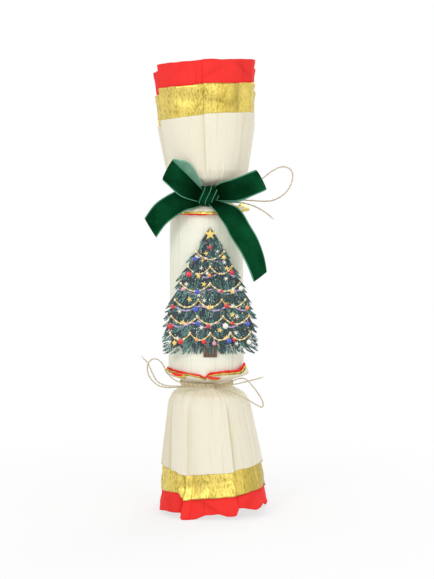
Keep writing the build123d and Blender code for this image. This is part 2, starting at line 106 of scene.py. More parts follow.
def piece(
    name, points, faces, body, materials, lay=None, tints=None, shade=None, picks=None, smooth=True
):
    """Object from points in millimetres, riding a body, with its lay, tints and shade as attributes."""
    mesh = bpy.data.meshes.new(name)
    places = np.reshape(points, (-1, 3)) * MM
    mesh.from_pydata(places.tolist(), [], [list(map(int, face)) for face in faces])
    for material in materials:
        mesh.materials.append(material)
    if picks is not None:
        mesh.polygons.foreach_set("material_index", np.asarray(picks, dtype=np.int32))
    mesh.polygons.foreach_set("use_smooth", np.full(len(mesh.polygons), smooth))
    if tints is not None:
        tints = np.hstack((tints, np.ones((len(tints), 1))))
    for attribute_name, kind, key, values in (
        ("lay", "FLOAT_VECTOR", "vector", lay),
        ("tint", "FLOAT_COLOR", "color", tints),
        ("shade", "FLOAT", "value", shade),
    ):
        if values is not None:
            data = mesh.attributes.new(attribute_name, kind, "POINT").data
            data.foreach_set(key, np.asarray(values, dtype=np.float32).ravel())
    mesh.update()
    obj = bpy.data.objects.new(name, mesh)
    scene.collection.objects.link(obj)
    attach(obj, body)
    return obj


def paper_lay(across, along, layer=0):
    """Each point's place on the flat paper."""
    return np.stack(np.broadcast_arrays(across, along, layer), axis=-1)


def lengths_along(points):
    """Length of a line of points up to each of them."""
    return np.concatenate(([0], np.cumsum(np.linalg.norm(np.diff(points, axis=0), axis=1))))


def thicken(obj, thickness):
    """Give a sheet its thickness, to the inside."""
    solidify = obj.modifiers.new("thickness", "SOLIDIFY")
    solidify.thickness = thickness * MM
    solidify.offset = -1


def waves(bearings, counts, seed):
    """Uneven wave round the axis, from whole numbers of waves, between -1 and 1."""
    rng = np.random.default_rng(seed)
    total = sum(
        rng.uniform(0.5, 1) * np.cos(np.radians(count * bearings) + rng.uniform(0, 2 * np.pi))
        for count in counts
    )
    return total / np.abs(total).max()


def fade(value, start, end):
    """Smooth step from 0 at start to 1 at end."""
    t = np.clip((value - start) / (end - start), 0, 1)
    return t * t * (3 - 2 * t)


# Materials

def new_material(name, colour, roughness, **sockets):
    """Material with its shader's plain sockets set, and its tree."""
    material = bpy.data.materials.new(name)
    material.use_nodes = True
    shader = material.node_tree.nodes["Principled BSDF"]
    shader.inputs["Base Color"].default_value = (*colour, 1)
    shader.inputs["Roughness"].default_value = roughness
    for socket, value in sockets.items():
        shader.inputs[socket.replace("_", " ")].default_value = value
    return material, material.node_tree, shader


def node(tree, kind, inputs=None, **settings):
    """New node with its settings, and its inputs given as values or as other sockets."""
    made = tree.nodes.new(kind)
    for name, value in settings.items():
        setattr(made, name, value)
    for key, value in (inputs or {}).items():
        if isinstance(value, bpy.types.NodeSocket):
            tree.links.new(value, made.inputs[key])
        else:
            made.inputs[key].default_value = value
    return made


def attribute(tree, name, output):
    """Output of a mesh attribute."""
    return node(tree, "ShaderNodeAttribute", attribute_name=name).outputs[output]


def calculated(tree, operation, *values):
    """Result of an operation on values or sockets."""
    return node(tree, "ShaderNodeMath", dict(enumerate(values)), operation=operation).outputs["Value"]


def ranged(tree, value, low, high, start=0.0, end=1.0):
    """Value that goes from low to high as another goes from start to end."""
    return node(tree, "ShaderNodeMapRange", {
        "Value": value, "From Min": start, "From Max": end, "To Min": low, "To Max": high,
    }).outputs["Result"]


def mixed(tree, factor, first, second):
    """Colour that goes from the first to the second as a factor goes from 0 to 1."""
    return node(tree, "ShaderNodeMix", {0: factor, 6: first, 7: second}, data_type="RGBA").outputs[2]


def stretched(tree, source, scale):
    """The paper's lay or the object's own coordinates, scaled."""
    if source == "lay":
        vector = attribute(tree, "lay", "Vector")
    else:
        vector = node(tree, "ShaderNodeTexCoord").outputs["Object"]
    return node(tree, "ShaderNodeMapping", {"Vector": vector, "Scale": scale}).outputs["Vector"]


def lay_noise(tree, source, scale, detail, distortion=0.0):
    """Noise stretched over the paper's lay or the object's own coordinates."""
    return node(tree, "ShaderNodeTexNoise", {
        "Vector": stretched(tree, source, scale), "Scale": 1.0,
        "Detail": detail, "Distortion": distortion,
    }).outputs["Fac"]


def colour_between(tree, factor, dark, light, low=0.3, high=0.7):
    """Colour that runs from dark to light as a factor goes from low to high."""
    ramp = node(tree, "ShaderNodeValToRGB", {"Fac": factor})
    ramp.color_ramp.elements[0].position = low
    ramp.color_ramp.elements[0].color = (*dark, 1)
    ramp.color_ramp.elements[1].position = high
    ramp.color_ramp.elements[1].color = (*light, 1)
    return ramp.outputs["Color"]


def add_bump(tree, shader, *layers):
    """Stack bumps, each a height socket with a strength and a depth in millimetres."""
    normal = None
    for height, strength, depth in layers:
        inputs = {"Height": height, "Strength": strength, "Distance": depth * MM}
        if normal is not None:
            inputs["Normal"] = normal
        normal = node(tree, "ShaderNodeBump", inputs).outputs["Normal"]
    tree.links.new(normal, shader.inputs["Normal"])


def painted_shade(tree, colour, deep):
    """Colour taken towards a darker one where the mesh's shade attribute is high: painted shade, as in a
    fold.
    """
    return mixed(tree, attribute(tree, "shade", "Fac"), colour, (*deep, 1))


def crepe(name, dark, light, fold_shade, roughness, streak_depth=0.2, **sockets):
    """Crepe paper: fine crinkles along the paper's lay over broad soft streaks, with painted shade in its
    folds.
    """
    material, tree, shader = new_material(name, light, roughness, **sockets)
    streaks = lay_noise(tree, "lay", (0.9, 0.035, 1), 5)
    bands = lay_noise(tree, "lay", (0.24, 0.012, 1), 3)
    crinkles = lay_noise(tree, "lay", (2.6, 0.22, 1), 3, 0.6)
    cockles = lay_noise(tree, "lay", (0.16, 0.10, 1), 2)
    tone = calculated(tree, "MULTIPLY_ADD", bands, 1.2, streaks)
    colour = colour_between(tree, tone, dark, light, 0.8, 1.3)
    tree.links.new(painted_shade(tree, colour, fold_shade), shader.inputs["Base Color"])
    add_bump(tree, shader, (cockles, 0.5, 0.5), (streaks, 0.42, streak_depth), (crinkles, 0.5, 0.14))
    return material


def foil_crepe():
    """Gold foil on crepe: bright metal, creased into small facets that each catch the light, by their
    bumps and by a painted sparkle in their colour.
    """
    material, tree, shader = new_material("gold_foil_crepe", (0.55, 0.40, 0.07), 0.36, Metallic=0.75)
    facets = node(tree, "ShaderNodeTexVoronoi", {
        "Vector": stretched(tree, "lay", (1.5, 0.62, 1)), "Scale": 1.0,
    }).outputs
    # Painted sparkle: each facet's cell colour lightens or darkens its gold.
    sparkle = node(tree, "ShaderNodeSeparateColor", {"Color": facets["Color"]}).outputs["Red"]
    bands = lay_noise(tree, "lay", (0.10, 0.012, 1), 2)
    crinkles = lay_noise(tree, "lay", (3.2, 0.9, 1), 4, 1.2)
    tone = calculated(tree, "MULTIPLY_ADD", bands, 0.9, sparkle)
    colour = colour_between(tree, tone, (0.40, 0.305, 0.036), (0.82, 0.645, 0.155), 0.3, 1.6)
    # Painted shade in folds and tucks, and the painted dim reflection, from the mesh's shade attribute.
    tree.links.new(painted_shade(tree, colour, (0.26, 0.17, 0.012)), shader.inputs["Base Color"])
    tree.links.new(ranged(tree, crinkles, 0.28, 0.5), shader.inputs["Roughness"])
    add_bump(tree, shader, (facets["Distance"], 0.5, 0.12), (crinkles, 0.5, 0.10))
    return material


# Each crepe's third colour is the painted shade it takes where its mesh is shaded, as in folds and tucks.
cream_crepe = crepe(
    "cream_crepe", (0.755, 0.682, 0.478), (0.840, 0.790, 0.632), (0.53, 0.43, 0.23), 0.82,
    Sheen_Weight=0.1,
)
barrel_crepe = crepe(
    "barrel_crepe", (0.76, 0.755, 0.59), (0.86, 0.855, 0.72), (0.62, 0.60, 0.44), 0.82,
    Sheen_Weight=0.1,
)
red_crepe = crepe(
    "red_crepe", (0.83, 0.020, 0.016), (0.91, 0.031, 0.026), (0.55, 0.010, 0.008), 0.8, 0.08,
    Specular_IOR_Level=0.3,
)
gold_crepe = foil_crepe()
tissue = crepe("lining_tissue", (0.72, 0.69, 0.60), (0.84, 0.82, 0.75), (0.60, 0.57, 0.48), 0.85)


def edged(tree, colour, selvedge_colour):
    """Colour of a ribbon with its woven selvedge along both edges."""
    lay = node(tree, "ShaderNodeSeparateXYZ", {"Vector": attribute(tree, "lay", "Vector")}).outputs
    selvedge = ranged(tree, calculated(tree, "ABSOLUTE", lay["X"]), 0.0, 1.0, 0.885, 0.915)
    return mixed(tree, selvedge, colour, (*selvedge_colour, 1))


def velvet_material():
    """Velvet pile, darkened by painted shade where its mesh is shaded, with a paler woven selvedge along
    both edges of the ribbon.
    """
    material, tree, shader = new_material(
        "velvet_pile", (0.002, 0.045, 0.014), 0.95,
        Sheen_Weight=0.22, Sheen_Roughness=0.3, Sheen_Tint=(0.02, 0.36, 0.11, 1),
        Specular_IOR_Level=0.02,
    )
    nap = lay_noise(tree, "object", (75, 75, 75), 3)
    pile = lay_noise(tree, "object", (2600, 2600, 2600), 2)
    pile_colour = colour_between(tree, nap, (0.0010, 0.024, 0.007), (0.0040, 0.078, 0.026))
    # Painted shade from the mesh's shade attribute.
    pile_colour = painted_shade(tree, pile_colour, (0.0002, 0.006, 0.0015))
    tree.links.new(edged(tree, pile_colour, (0.085, 0.275, 0.165)), shader.inputs["Base Color"])
    add_bump(tree, shader, (nap, 0.3, 0.4), (pile, 0.5, 0.12))
    return material


def satin_material():
    """Woven satin back of the ribbon, ribbed finely across its width."""
    material, tree, shader = new_material("ribbon_back", (0.17, 0.40, 0.26), 0.5, Sheen_Weight=0.2)
    ribs = lay_noise(tree, "lay", (2, 5.5, 1), 2)
    nap = lay_noise(tree, "object", (160, 160, 160), 3)
    woven = colour_between(tree, nap, (0.095, 0.25, 0.155), (0.16, 0.36, 0.245))
    tree.links.new(edged(tree, woven, (0.24, 0.48, 0.35)), shader.inputs["Base Color"])
    add_bump(tree, shader, (ribs, 0.5, 0.1))
    return material


def speckled(name, dark, light, roughness, grain, depth, coat):
    """Plain stock with a fine even grain."""
    material, tree, shader = new_material(name, light, roughness, Coat_Weight=coat)
    specks = lay_noise(tree, "object", (grain,) * 3, 6)
    blotches = lay_noise(tree, "object", (grain / 8,) * 3, 3)
    tree.links.new(colour_between(tree, blotches, dark, light), shader.inputs["Base Color"])
    tree.links.new(ranged(tree, specks, roughness - 0.08, roughness + 0.08), shader.inputs["Roughness"])
    add_bump(tree, shader, (specks, 0.5, depth))
    return material


def tinted(name, roughness, grain, depth, **sockets):
    """Stock that takes its colour from the mesh's tints, broken up by a fine grain."""
    material, tree, shader = new_material(name, (0.5, 0.5, 0.5), roughness, **sockets)
    specks = lay_noise(tree, "object", (grain,) * 3, 4)
    scaled = node(tree, "ShaderNodeVectorMath", {
        0: attribute(tree, "tint", "Color"), "Scale": ranged(tree, specks, 0.65, 1.3),
    }, operation="SCALE")
    tree.links.new(scaled.outputs["Vector"], shader.inputs["Base Color"])
    add_bump(tree, shader, (specks, 0.4, depth))
    return material


velvet = velvet_material()
satin = satin_material()
twine_fibre = tinted("twine_fibre", 0.85, 1500, 0.1, Sheen_Weight=0.2)
needle_print = tinted("needle_print", 0.5, 900, 0.05, Coat_Weight=0.15)
ornament_print = tinted("ornament_print", 0.28, 500, 0.02, Coat_Weight=0.5)

for node_names, look in (
    (["tree_scrap"], ("card_print", (0.022, 0.026, 0.048), (0.030, 0.070, 0.078), 0.55, 600, 0.1, 0)),
    (["barrel_tube"], ("tube_card", (0.40, 0.33, 0.24), (0.52, 0.44, 0.33), 0.8, 700, 0.1, 0)),
    (["scrap_glue_pad"], ("glue", (0.62, 0.56, 0.40), (0.72, 0.68, 0.54), 0.35, 300, 0.1, 0)),
    (
        ["snap_strip_lower", "snap_strip_upper"],
        ("snap_card", (0.58, 0.50, 0.38), (0.70, 0.62, 0.48), 0.75, 700, 0.08, 0),
    ),
    (["snap_band"], ("snap_paper", (0.30, 0.20, 0.12), (0.42, 0.30, 0.19), 0.8, 800, 0.08, 0)),
    (["paper_hat"], ("hat_tissue", (0.50, 0.018, 0.020), (0.72, 0.035, 0.034), 0.7, 500, 0.12, 0)),
    (["motto_slip"], ("motto_paper", (0.74, 0.72, 0.64), (0.84, 0.82, 0.75), 0.75, 700, 0.05, 0)),
    (["gift_top_body"], ("top_paint", (0.02, 0.07, 0.30), (0.03, 0.11, 0.42), 0.35, 300, 0.03, 0.6)),
    (["gift_top_spindle"], ("top_wood", (0.36, 0.20, 0.09), (0.56, 0.35, 0.18), 0.55, 350, 0.08, 0)),
):
    stock = speckled(*look)
    for node_name in node_names:
        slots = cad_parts[node_name].data.materials
        slots.clear()
        slots.append(stock)


# Twine: two plies twisted together, with loose fibres, on the routes of the solids

twine_diameter = 1.2
ply_radius = 0.25
ply_offset = 0.2
ply_sides = 8
ply_tints = ((0.72, 0.60, 0.38), (0.50, 0.41, 0.24))
twist_length = 2.8
fibre_width = 0.05
fibre_tint = (0.72, 0.59, 0.41)
fibres_per_mm = 1.6
frayed_fibres = 16
Line = namedtuple("Line", "points tangents normals sides lengths")


def framed(points):
    """Line of points with a frame carried along it without twist."""
    tangents = np.gradient(points, axis=0)
    tangents /= np.linalg.norm(tangents, axis=1)[:, None]
    normal = np.cross(tangents[0], (0.3, 0.2, 1.0))
    normals = []
    for tangent in tangents:
        normal = normal - tangent * normal.dot(tangent)
        normal /= np.linalg.norm(normal)
        normals.append(normal)
    normals = np.array(normals)
    return Line(points, tangents, normals, np.cross(tangents, normals), lengths_along(points))


def smooth_line(name, route):
    """Points along the smooth spline that has a route's points as its control points."""
    curve = bpy.data.curves.new(name, "CURVE")
    curve.dimensions = "3D"
    curve.resolution_u = 28
    spline = curve.splines.new("NURBS")
    spline.points.add(len(route) - 1)
    for control, place in zip(spline.points, route):
        control.co = (*(np.asarray(place) * MM), 1)
    spline.order_u = 3
    spline.use_endpoint_u = True
    holder = bpy.data.objects.new(name, curve)
    mesh = bpy.data.meshes.new_from_object(holder)
    points = np.array([vertex.co for vertex in mesh.vertices]) / MM
    bpy.data.objects.remove(holder)
    bpy.data.meshes.remove(mesh)
    bpy.data.curves.remove(curve)
    return points


def off_line(line, turn):
    """Directions away from a line's points, each point's turns in a row."""
    return np.cos(turn)[..., None] * line.normals[:, None] + np.sin(turn)[..., None] * line.sides[:, None]


def twisted(name, line, body, seed):
    """Two plies wound round a line, one pale and one dark."""
    rng = np.random.default_rng(seed)
    points, faces, tints = [], [], []
    around = np.linspace(0, 2 * np.pi, ply_sides + 1)
    rows, columns = len(line.points), len(around)
    for ply, tint in enumerate(ply_tints):
        turn = 2 * np.pi * line.lengths / twist_length + np.pi * ply
        wander = 1 + 0.12 * np.sin(line.lengths * 1.7 + rng.uniform(0, 6, 1))
        centre = line.points[:, None] + ply_offset * off_line(line, turn[:, None])
        points.append(centre + ply_radius * wander[:, None, None] * off_line(line, around[None]))
        faces.append(grid_faces(rows, columns, start=ply * rows * columns, flip=True))
        speckle = rng.uniform(0.78, 1.2, (rows, 1)).repeat(columns, axis=0)
        tints.append(np.array(tint) * speckle)
    return piece(name, points, np.vstack(faces), body, [twine_fibre], tints=np.vstack(tints))


def fibres(name, line, body, seed, frayed_end):
    """Loose fibres that stand off the twine, and the brush of fibres at a cut end."""
    rng = np.random.default_rng(seed)
    starts, ways, spans = [], [], []
    for i in rng.integers(2, len(line.points) - 2, int(line.lengths[-1] * fibres_per_mm)):
        turn = rng.uniform(0, 2 * np.pi)
        out = np.cos(turn) * line.normals[i] + np.sin(turn) * line.sides[i]
        starts.append(line.points[i] + out * twine_diameter * 0.35)
        ways.append(out * 0.5 + line.tangents[i] * rng.choice((-1, 1)) + rng.normal(0, 0.25, 3))
        spans.append(rng.uniform(0.6, 1.9))
    for _ in range(frayed_fibres if frayed_end else 0):
        starts.append(line.points[-1] + rng.normal(0, 0.22, 3))
        ways.append(line.tangents[-1] + rng.normal(0, 0.28, 3))
        spans.append(rng.uniform(1.2, 3.6))
    points, faces = [], []
    for start, way, span in zip(starts, ways, spans):
        way = way / np.linalg.norm(way)
        across = np.cross(way, rng.normal(0, 1, 3))
        across *= fibre_width / np.linalg.norm(across)
        bend = rng.normal(0, 0.18, 3) * span
        first = len(points)
        for t, width in ((0, 1), (0.5, 0.8), (1, 0.3)):
            spine = start + way * span * t + bend * t * t
            points += [spine - across * width, spine + across * width]
        faces += [(k, k + 1, k + 3, k + 2) for k in (first, first + 2)]
    tints = np.tile(fibre_tint, (len(points), 1))
    return piece(name, points, faces, body, [twine_fibre], tints=tints)


def free_twine(name, offsets, seed, far_end):
    """Free stretch of twine from the knot of its end, through the points of its solid's route."""
    end = name.split("_")[0]
    body = f"{end}_end"
    line = framed(smooth_line(name + "_line", knots[end] + np.array(offsets)))
    cord = twisted(name + "_cord", line, body, seed)
    fuzz = fibres(name + "_fibres", line, body, seed + 50, far_end == "bare")
    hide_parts(name)


free_twine("lower_twine_loop_left", (
    (-1.4, -0.7, -0.6), (-9.3, -3.4, -0.4), (-18.6, -2.5, -0.6), (-26.6, 0.5, -1.3),
    (-34.1, 4.3, -2.1), (-40.3, 6.8, -0.3), (-44.9, 7.8, 4.7), (-46.5, 7.8, 10.5),
    (-45.0, 7.3, 15.5), (-41.1, 6.3, 17.8), (-37.1, 4.8, 16.1), (-34.2, 1.8, 12.0),
    (-31.4, -1.2, 6.9), (-25.3, -4.4, 3.0), (-17.1, -4.7, 1.1), (-8.7, -4.2, 0.7),
    (-1.3, -0.8, 0.8),
), 11, "object")
free_twine("lower_twine_end_left", (
    (-1.0, -1.3, 0.0), (-9.1, -4.1, 0.1), (-18.1, -4.0, 0.2), (-26.1, -1.0, -0.2),
    (-33.4, 2.0, -0.6), (-39.1, 3.6, 1.8), (-42.1, 4.0, 6.7), (-44.3, 4.2, 12.0),
    (-46.2, 4.4, 15.9), (-48.5, 4.6, 17.7),
), 12, "bare")
free_twine("lower_twine_loop_right", (
    (1.4, 0.7, 0.6), (7.9, -0.8, 1.6), (14.2, 1.4, 4.2), (19.9, 5.2, 4.6),
    (25.2, 7.8, -1.6), (29.5, 8.6, -7.4), (32.6, 8.0, -13.3), (31.6, 5.8, -16.2),
    (27.7, 3.8, -13.8), (21.9, 0.4, -9.7), (15.4, -2.8, -5.9), (8.1, -3.6, -3.0),
    (1.6, 0.1, -1.4),
), 13, "object")
free_twine("lower_twine_end_right", (
    (1.7, -0.5, -0.1), (7.5, -3.5, 0.5), (14.7, -2.8, 1.5), (20.9, -0.4, 2.8),
    (26.6, 2.2, 3.7), (30.7, 3.8, 4.8),
), 14, "bare")
free_twine("upper_twine_loop", (
    (1.5, 0.4, -0.2), (9.8, 1.0, -0.2), (18.3, 2.2, -0.1), (26.3, 3.2, -0.9),
    (33.4, 3.8, -0.7), (39.6, 3.8, 2.0), (44.4, 3.8, 6.5), (47.2, 3.8, 12.5),
    (47.7, 3.8, 17.8), (45.0, 3.8, 21.6), (39.8, 3.8, 22.5), (33.9, 3.8, 19.7),
    (27.8, 3.4, 14.9), (21.0, 2.8, 9.3), (13.3, 1.8, 4.7), (6.2, 0.8, 2.3),
    (1.2, 1.0, 1.4),
), 15, "object")
free_twine("upper_twine_end", (
    (1.7, 0.0, -1.5), (8.8, -0.6, -1.6), (16.6, -0.8, -2.1), (23.0, -0.8, -4.6),
    (28.2, -1.0, -7.5), (31.6, -1.2, -10.1), (33.5, -1.3, -11.9),
), 16, "bare")

neck_radius = 17.0
wrap_radius = neck_radius + 0.9
wrap_pitch = 1.4
wrap_turns = 2
wrap_sway = 0.25
tie_lift = 0.2


def twine_binding(end, seed):
    """Turns of twine round a neck, and the knot that ties them."""
    knot, body = knots[end], f"{end}_end"
    start = math.atan2(knot[0], -knot[1])
    turn = np.linspace(0, 1, 520) * 2 * np.pi * wrap_turns
    sway = wrap_sway * np.sin(1.5 * turn + seed)
    line = framed(np.stack((
        wrap_radius * np.sin(start + turn), -wrap_radius * np.cos(start + turn),
        knot[2] + wrap_pitch * (turn / (2 * np.pi) - wrap_turns / 2) + sway,
    ), axis=1))
    wrap = twisted(f"{end}_twine_turns", line, body, seed)
    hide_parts(f"{end}_twine_wrap")

    t = np.linspace(0, 2 * np.pi, 160)[:, None]
    across = 0.62 * (np.sin(t) + 2 * np.sin(2 * t))
    up = 0.66 * (np.cos(t) - 2 * np.cos(2 * t))
    depth = -0.85 * np.sin(3 * t)
    outward = np.array((math.sin(start), -math.cos(start), 0))
    rightward = np.array((math.cos(start), math.sin(start), 0))
    upward = np.array((0, 0, 1))
    line = framed(knot + tie_lift * outward + across * rightward + depth * outward + up * upward)
    tie = twisted(f"{end}_twine_tie", line, body, seed + 1)
    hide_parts(f"{end}_twine_knot")


twine_binding("lower", 21)
twine_binding("upper", 31)


# Crepe ends: three nested layers, each from its collar, through the neck, to its hem

layer_pitch = 1.1
crepe_thickness = 0.35
fold_width = 1.4
sink_width = 8.0
half_neck = 2.4
collar_radius = 28.8
pleat_start = 40.0
sheet_radius = 36.0
hem_ripple = 0.25
rim_ripple = 0.3
fine_depth = 0.14
flutter_depth = 0.7
tuck_dip = 1.1
wrinkle_dip = 1.1
crumple_depth = 0.7
deepest_shade = 0.85
turn_gap = 1.5
turn_bulge = 0.9
turn_ripple = 0.35
crepes = {
    "cream": ("cream_crepe", cream_crepe),
    "gold": ("gold_foil_crepe", gold_crepe),
    "red": ("red_crepe", red_crepe),
}

# How far each layer is cut past its drop, by bearing
lower_cream_hem = (
    (-180, 0.4), (-128, 1.2), (-127, -0.6), (-90, 0.9), (-62, 0.1), (-57, 1.2), (-43, 0.9),
    (-39, 2.6), (-28, 3.0), (-5, 1.2), (25, 0.5), (33, -0.8), (50, -1.4), (83, -3.4), (85, -0.5),
    (130, 0.8), (131, -0.8),
)
lower_gold_hem = (
    (-180, 0.6), (-128, 1.4), (-127, -0.4), (-90, 1.8), (-42, -1.2), (-38, -0.6), (-33, 2.3),
    (-27, 2.5), (-5, 0.8), (25, 0.2), (44, -1.7), (83, -2.7), (85, -0.3), (130, 1.0), (131, -0.6),
)
lower_red_hem = (
    (-180, 0.8), (-128, 1.4), (-127, 0.0), (-90, 1.6), (-70, 0.2), (-50, -2.0), (-31.4, -2.2),
    (-30.4, 2.0), (-24, 2.3), (-17, 1.4), (-8, -1.6), (4, -2.2), (13, -0.5), (20, -0.4), (22, -1.2),
    (24, -4.8), (29, -5.2), (40, -3.6), (52, -6.0), (70, -5.4), (84, -4.6), (86, 0.0), (130, 1.2),
    (131, 0.2),
)
upper_cream_hem = (
    (-180, -1.5), (-128, -2.5), (-127, -4.8), (-67, -5.6), (-65, -2.0), (-30, -1.5), (-3, 0.2),
    (0, 0.6), (34, 1.2), (75, 2.0), (77, -4.5), (120, -4.0), (121, -1.0),
)
upper_hem = (
    (-180, -1.5), (-128, -2.5), (-127, -4.8), (-67, -5.2), (-65, -1.2), (-30, -1.2), (-3, 0.0),
    (0, 0.4), (34, 1.0), (75, 2.6), (77, -2.2), (120, -2.6), (121, -1.0),
)
upper_creases = (-170, -142, -118, -92, -65, -2, 46, 77, 98, 125, 152)

# Rows of three are for the cream, gold and red layer. A wrinkle has its bearing, distance from the
# neck, slope, reach and dip. The rim is how far the collar goes past the neck, by bearing. The pair
# of bearings after the slant bounds the gold's painted dim reflection.
lower_end = SimpleNamespace(
    name="lower", body="lower_end", neck_z=knots["lower"][2], way=-1, lean=5.2, sway=1.2,
    neck_end=half_neck, flank_radius=34.3, hem_radius=39.1,
    drops=(55.5, 71.6, 84.5), tilts=(0, 0, 0), squareness=4.0, front_flare=3.0, dent=1.3,
    creases=(-168, -140, -112, -84, -52, -29, 25, 58, 85, 112, 138, 165),
    under_creases=(-168, -140, -112, -84, -31, -23, 25, 58, 85, 112, 138, 165),
    laps=(1.7, -1.7, 1.7, -1.7, 3.2, -1.3, -1.6, 0.4, -1.7, 1.7, -1.7, 1.7),
    slant=(-52, 22, -10), dim_reflection_span=(20, 95),
    hems=(lower_cream_hem, lower_gold_hem, lower_red_hem),
    rim=(
        (-180, 9.4), (-110, 10.2), (-90, 9.6), (-66, 11.2), (-40, 10.6), (-23, 9.5), (-10, 8.8),
        (-2, 6.3), (3, 9.6), (10, 10.2), (26, 11.0), (47, 10.9), (59, 11.6), (63.5, 15.8),
        (68, 11.2), (82, 9.0), (110, 9.8),
    ),
    edges=(2.7, 1.4, 0.0), edge_skew=0.3,
    tucks=(-38, -21, -3, 9, 21, 37, 71, 104, 133, 158, -66, -97, -124, -155),
    wrinkles=((-6, 77.5, 2.6, 5.0, 1.0), (-47, 78, 1.6, 6.0, 0.7), (38, 76, -2.0, 5.0, 0.6)),
    seed=41,
)
upper_end = SimpleNamespace(
    name="upper", body="upper_end", neck_z=knots["upper"][2], way=1, lean=-1.2, sway=1.2,
    neck_end=half_neck + 6.6, flank_radius=33.3, hem_radius=37.2,
    drops=(55.5, 75.2, 90.7), tilts=(0.8, 0.2, 0), squareness=2.0, front_flare=0.0, dent=0.0,
    creases=upper_creases, under_creases=upper_creases,
    laps=(1.7, -1.7, 1.7, -1.7, 1.7, 1.2, -1.0, -1.7, 1.7, -1.7, 1.7),
    slant=(0, 22, 0), dim_reflection_span=(8, 44),
    hems=(upper_cream_hem, upper_hem, upper_hem),
    rim=(
        (-180, 9.0), (-90, 8.6), (-60, 9.2), (-25, 9.8), (0, 9.9), (20, 9.6), (38, 8.8), (50, 8.0),
        (62, 7.4), (76, 7.0), (92, 6.8), (112, 7.8), (135, 8.8),
    ),
    edges=(2.5, 0.8, 0.0), edge_skew=0.0,
    tucks=(-52, -30, -12, 6, 26, 48, 80, 110, 140, 165, -80, -108, -138),
    wrinkles=((9, 83, 2.7, 4.5, 0.7), (51, 85.5, -2.8, 5.0, 0.9), (-30, 84, 2.0, 4.0, 0.4)),
    seed=42,
)


def around_axis(creases):
    """Bearings of a layer's columns, close together across each fold."""
    even = np.arange(-180, 180.01, 0.8)
    folds = [np.linspace(c - fold_width / 2, c + fold_width / 2, 6) for c in creases]
    bearings = np.unique(np.round(np.concatenate((even, *folds)), 3))
    return bearings[(bearings >= -180) & (bearings <= 180)]


def apart(bearings, bearing):
    """Bearings measured from another one, from -180 to 180."""
    return (bearings - bearing + 180) % 360 - 180


def sunk_pleats(creases, laps, bearings):
    """How far the paper dips beside each fold: right of it where its lap is negative, else left of it."""
    depth = 0 * bearings
    for crease, lap in zip(creases, laps):
        past = -math.copysign(1, lap) * apart(bearings, crease)
        step = abs(lap) * fade(past, -fold_width / 2, fold_width / 2)
        depth = depth + step * np.exp(-np.maximum(past, 0) / sink_width)
    return depth


def bell(half, width):
    """Weights that round off corners, over as many steps to each side as half says."""
    weights = np.exp(-0.5 * (np.arange(-half, half + 1) / width) ** 2)
    return weights / weights.sum()


def round_axis(stops, bearings):
    """Cut edge round the axis through stops of bearing and value, its corners a little rounded."""
    fine = np.arange(-200, 200, 0.2)
    values = np.interp(fine, *zip(*stops), period=360)
    return np.interp(bearings, fine, np.convolve(values, bell(20, 5.0), mode="same"))


def sideways(end, distance):
    """Shift of an end's middle line to the right at a distance from the neck."""
    along = np.maximum(distance, 0)
    return end.sway * fade(along, 2, 10) + (end.lean - end.sway) * along / end.drops[2]


def end_points(end, angle, radius, distance):
    """Points round an end's middle line, at distances from the neck."""
    return np.stack((
        sideways(end, distance) + radius * np.sin(angle),
        -radius * np.cos(angle),
        end.neck_z + end.way * distance,
    ), axis=-1)


def end_profile(end, distance):
    """Radius of the outer layer's folds at a distance from the neck, with rounded turns."""
    stops, radii = zip(
        (-16.0, collar_radius + 1.2), (-9.5, collar_radius + 0.5), (-6.8, collar_radius - 0.3),
        (-4.6, 23.8), (-half_neck, neck_radius), (end.neck_end, neck_radius), (end.neck_end + 4.5, 24.5),
        (end.neck_end + 10.5, 28.0), (50.0, end.flank_radius), (end.drops[2], end.hem_radius),
        (120.0, end.hem_radius + 2),
    )
    fine = np.arange(-16, 110, 0.1)
    radius = np.pad(np.interp(fine, stops, radii), 30, mode="edge")
    return np.interp(distance, fine, np.convolve(radius, bell(30, 8.0), mode="valid"))


def spread(end, bearings, distance):
    """How far the hem stands out past a round one: squarer all round, and flared at the front."""
    angle = np.radians(bearings)
    power = end.squareness
    squarer = (np.abs(np.sin(angle)) ** power + np.abs(np.cos(angle)) ** power) ** (-1 / power) - 1
    forward = np.clip(np.cos(angle), 0, 1) ** 2
    reach = fade(distance, 0.78 * end.drops[2], 1.02 * end.drops[2])
    return reach * (end.hem_radius * squarer + end.front_flare * forward)


def tuck_depth(end, bearings):
    """Narrow valleys where the paper is tucked in at the neck, from 0 to 1."""
    return np.exp(-((apart(bearings[:, None], np.array(end.tucks)) / 2.0) ** 2)).sum(axis=1)


def wrinkle_depth(end, bearings, distance):
    """How deep the paper dips in the slanting wrinkles near its hem."""
    depth = 0 * distance
    for bearing, middle_distance, slope, reach, dip in end.wrinkles:
        along = distance - middle_distance
        depth += dip * np.exp(-(((bearings - bearing - slope * along) / 4.5) ** 2) - (along / reach) ** 2)
    return depth


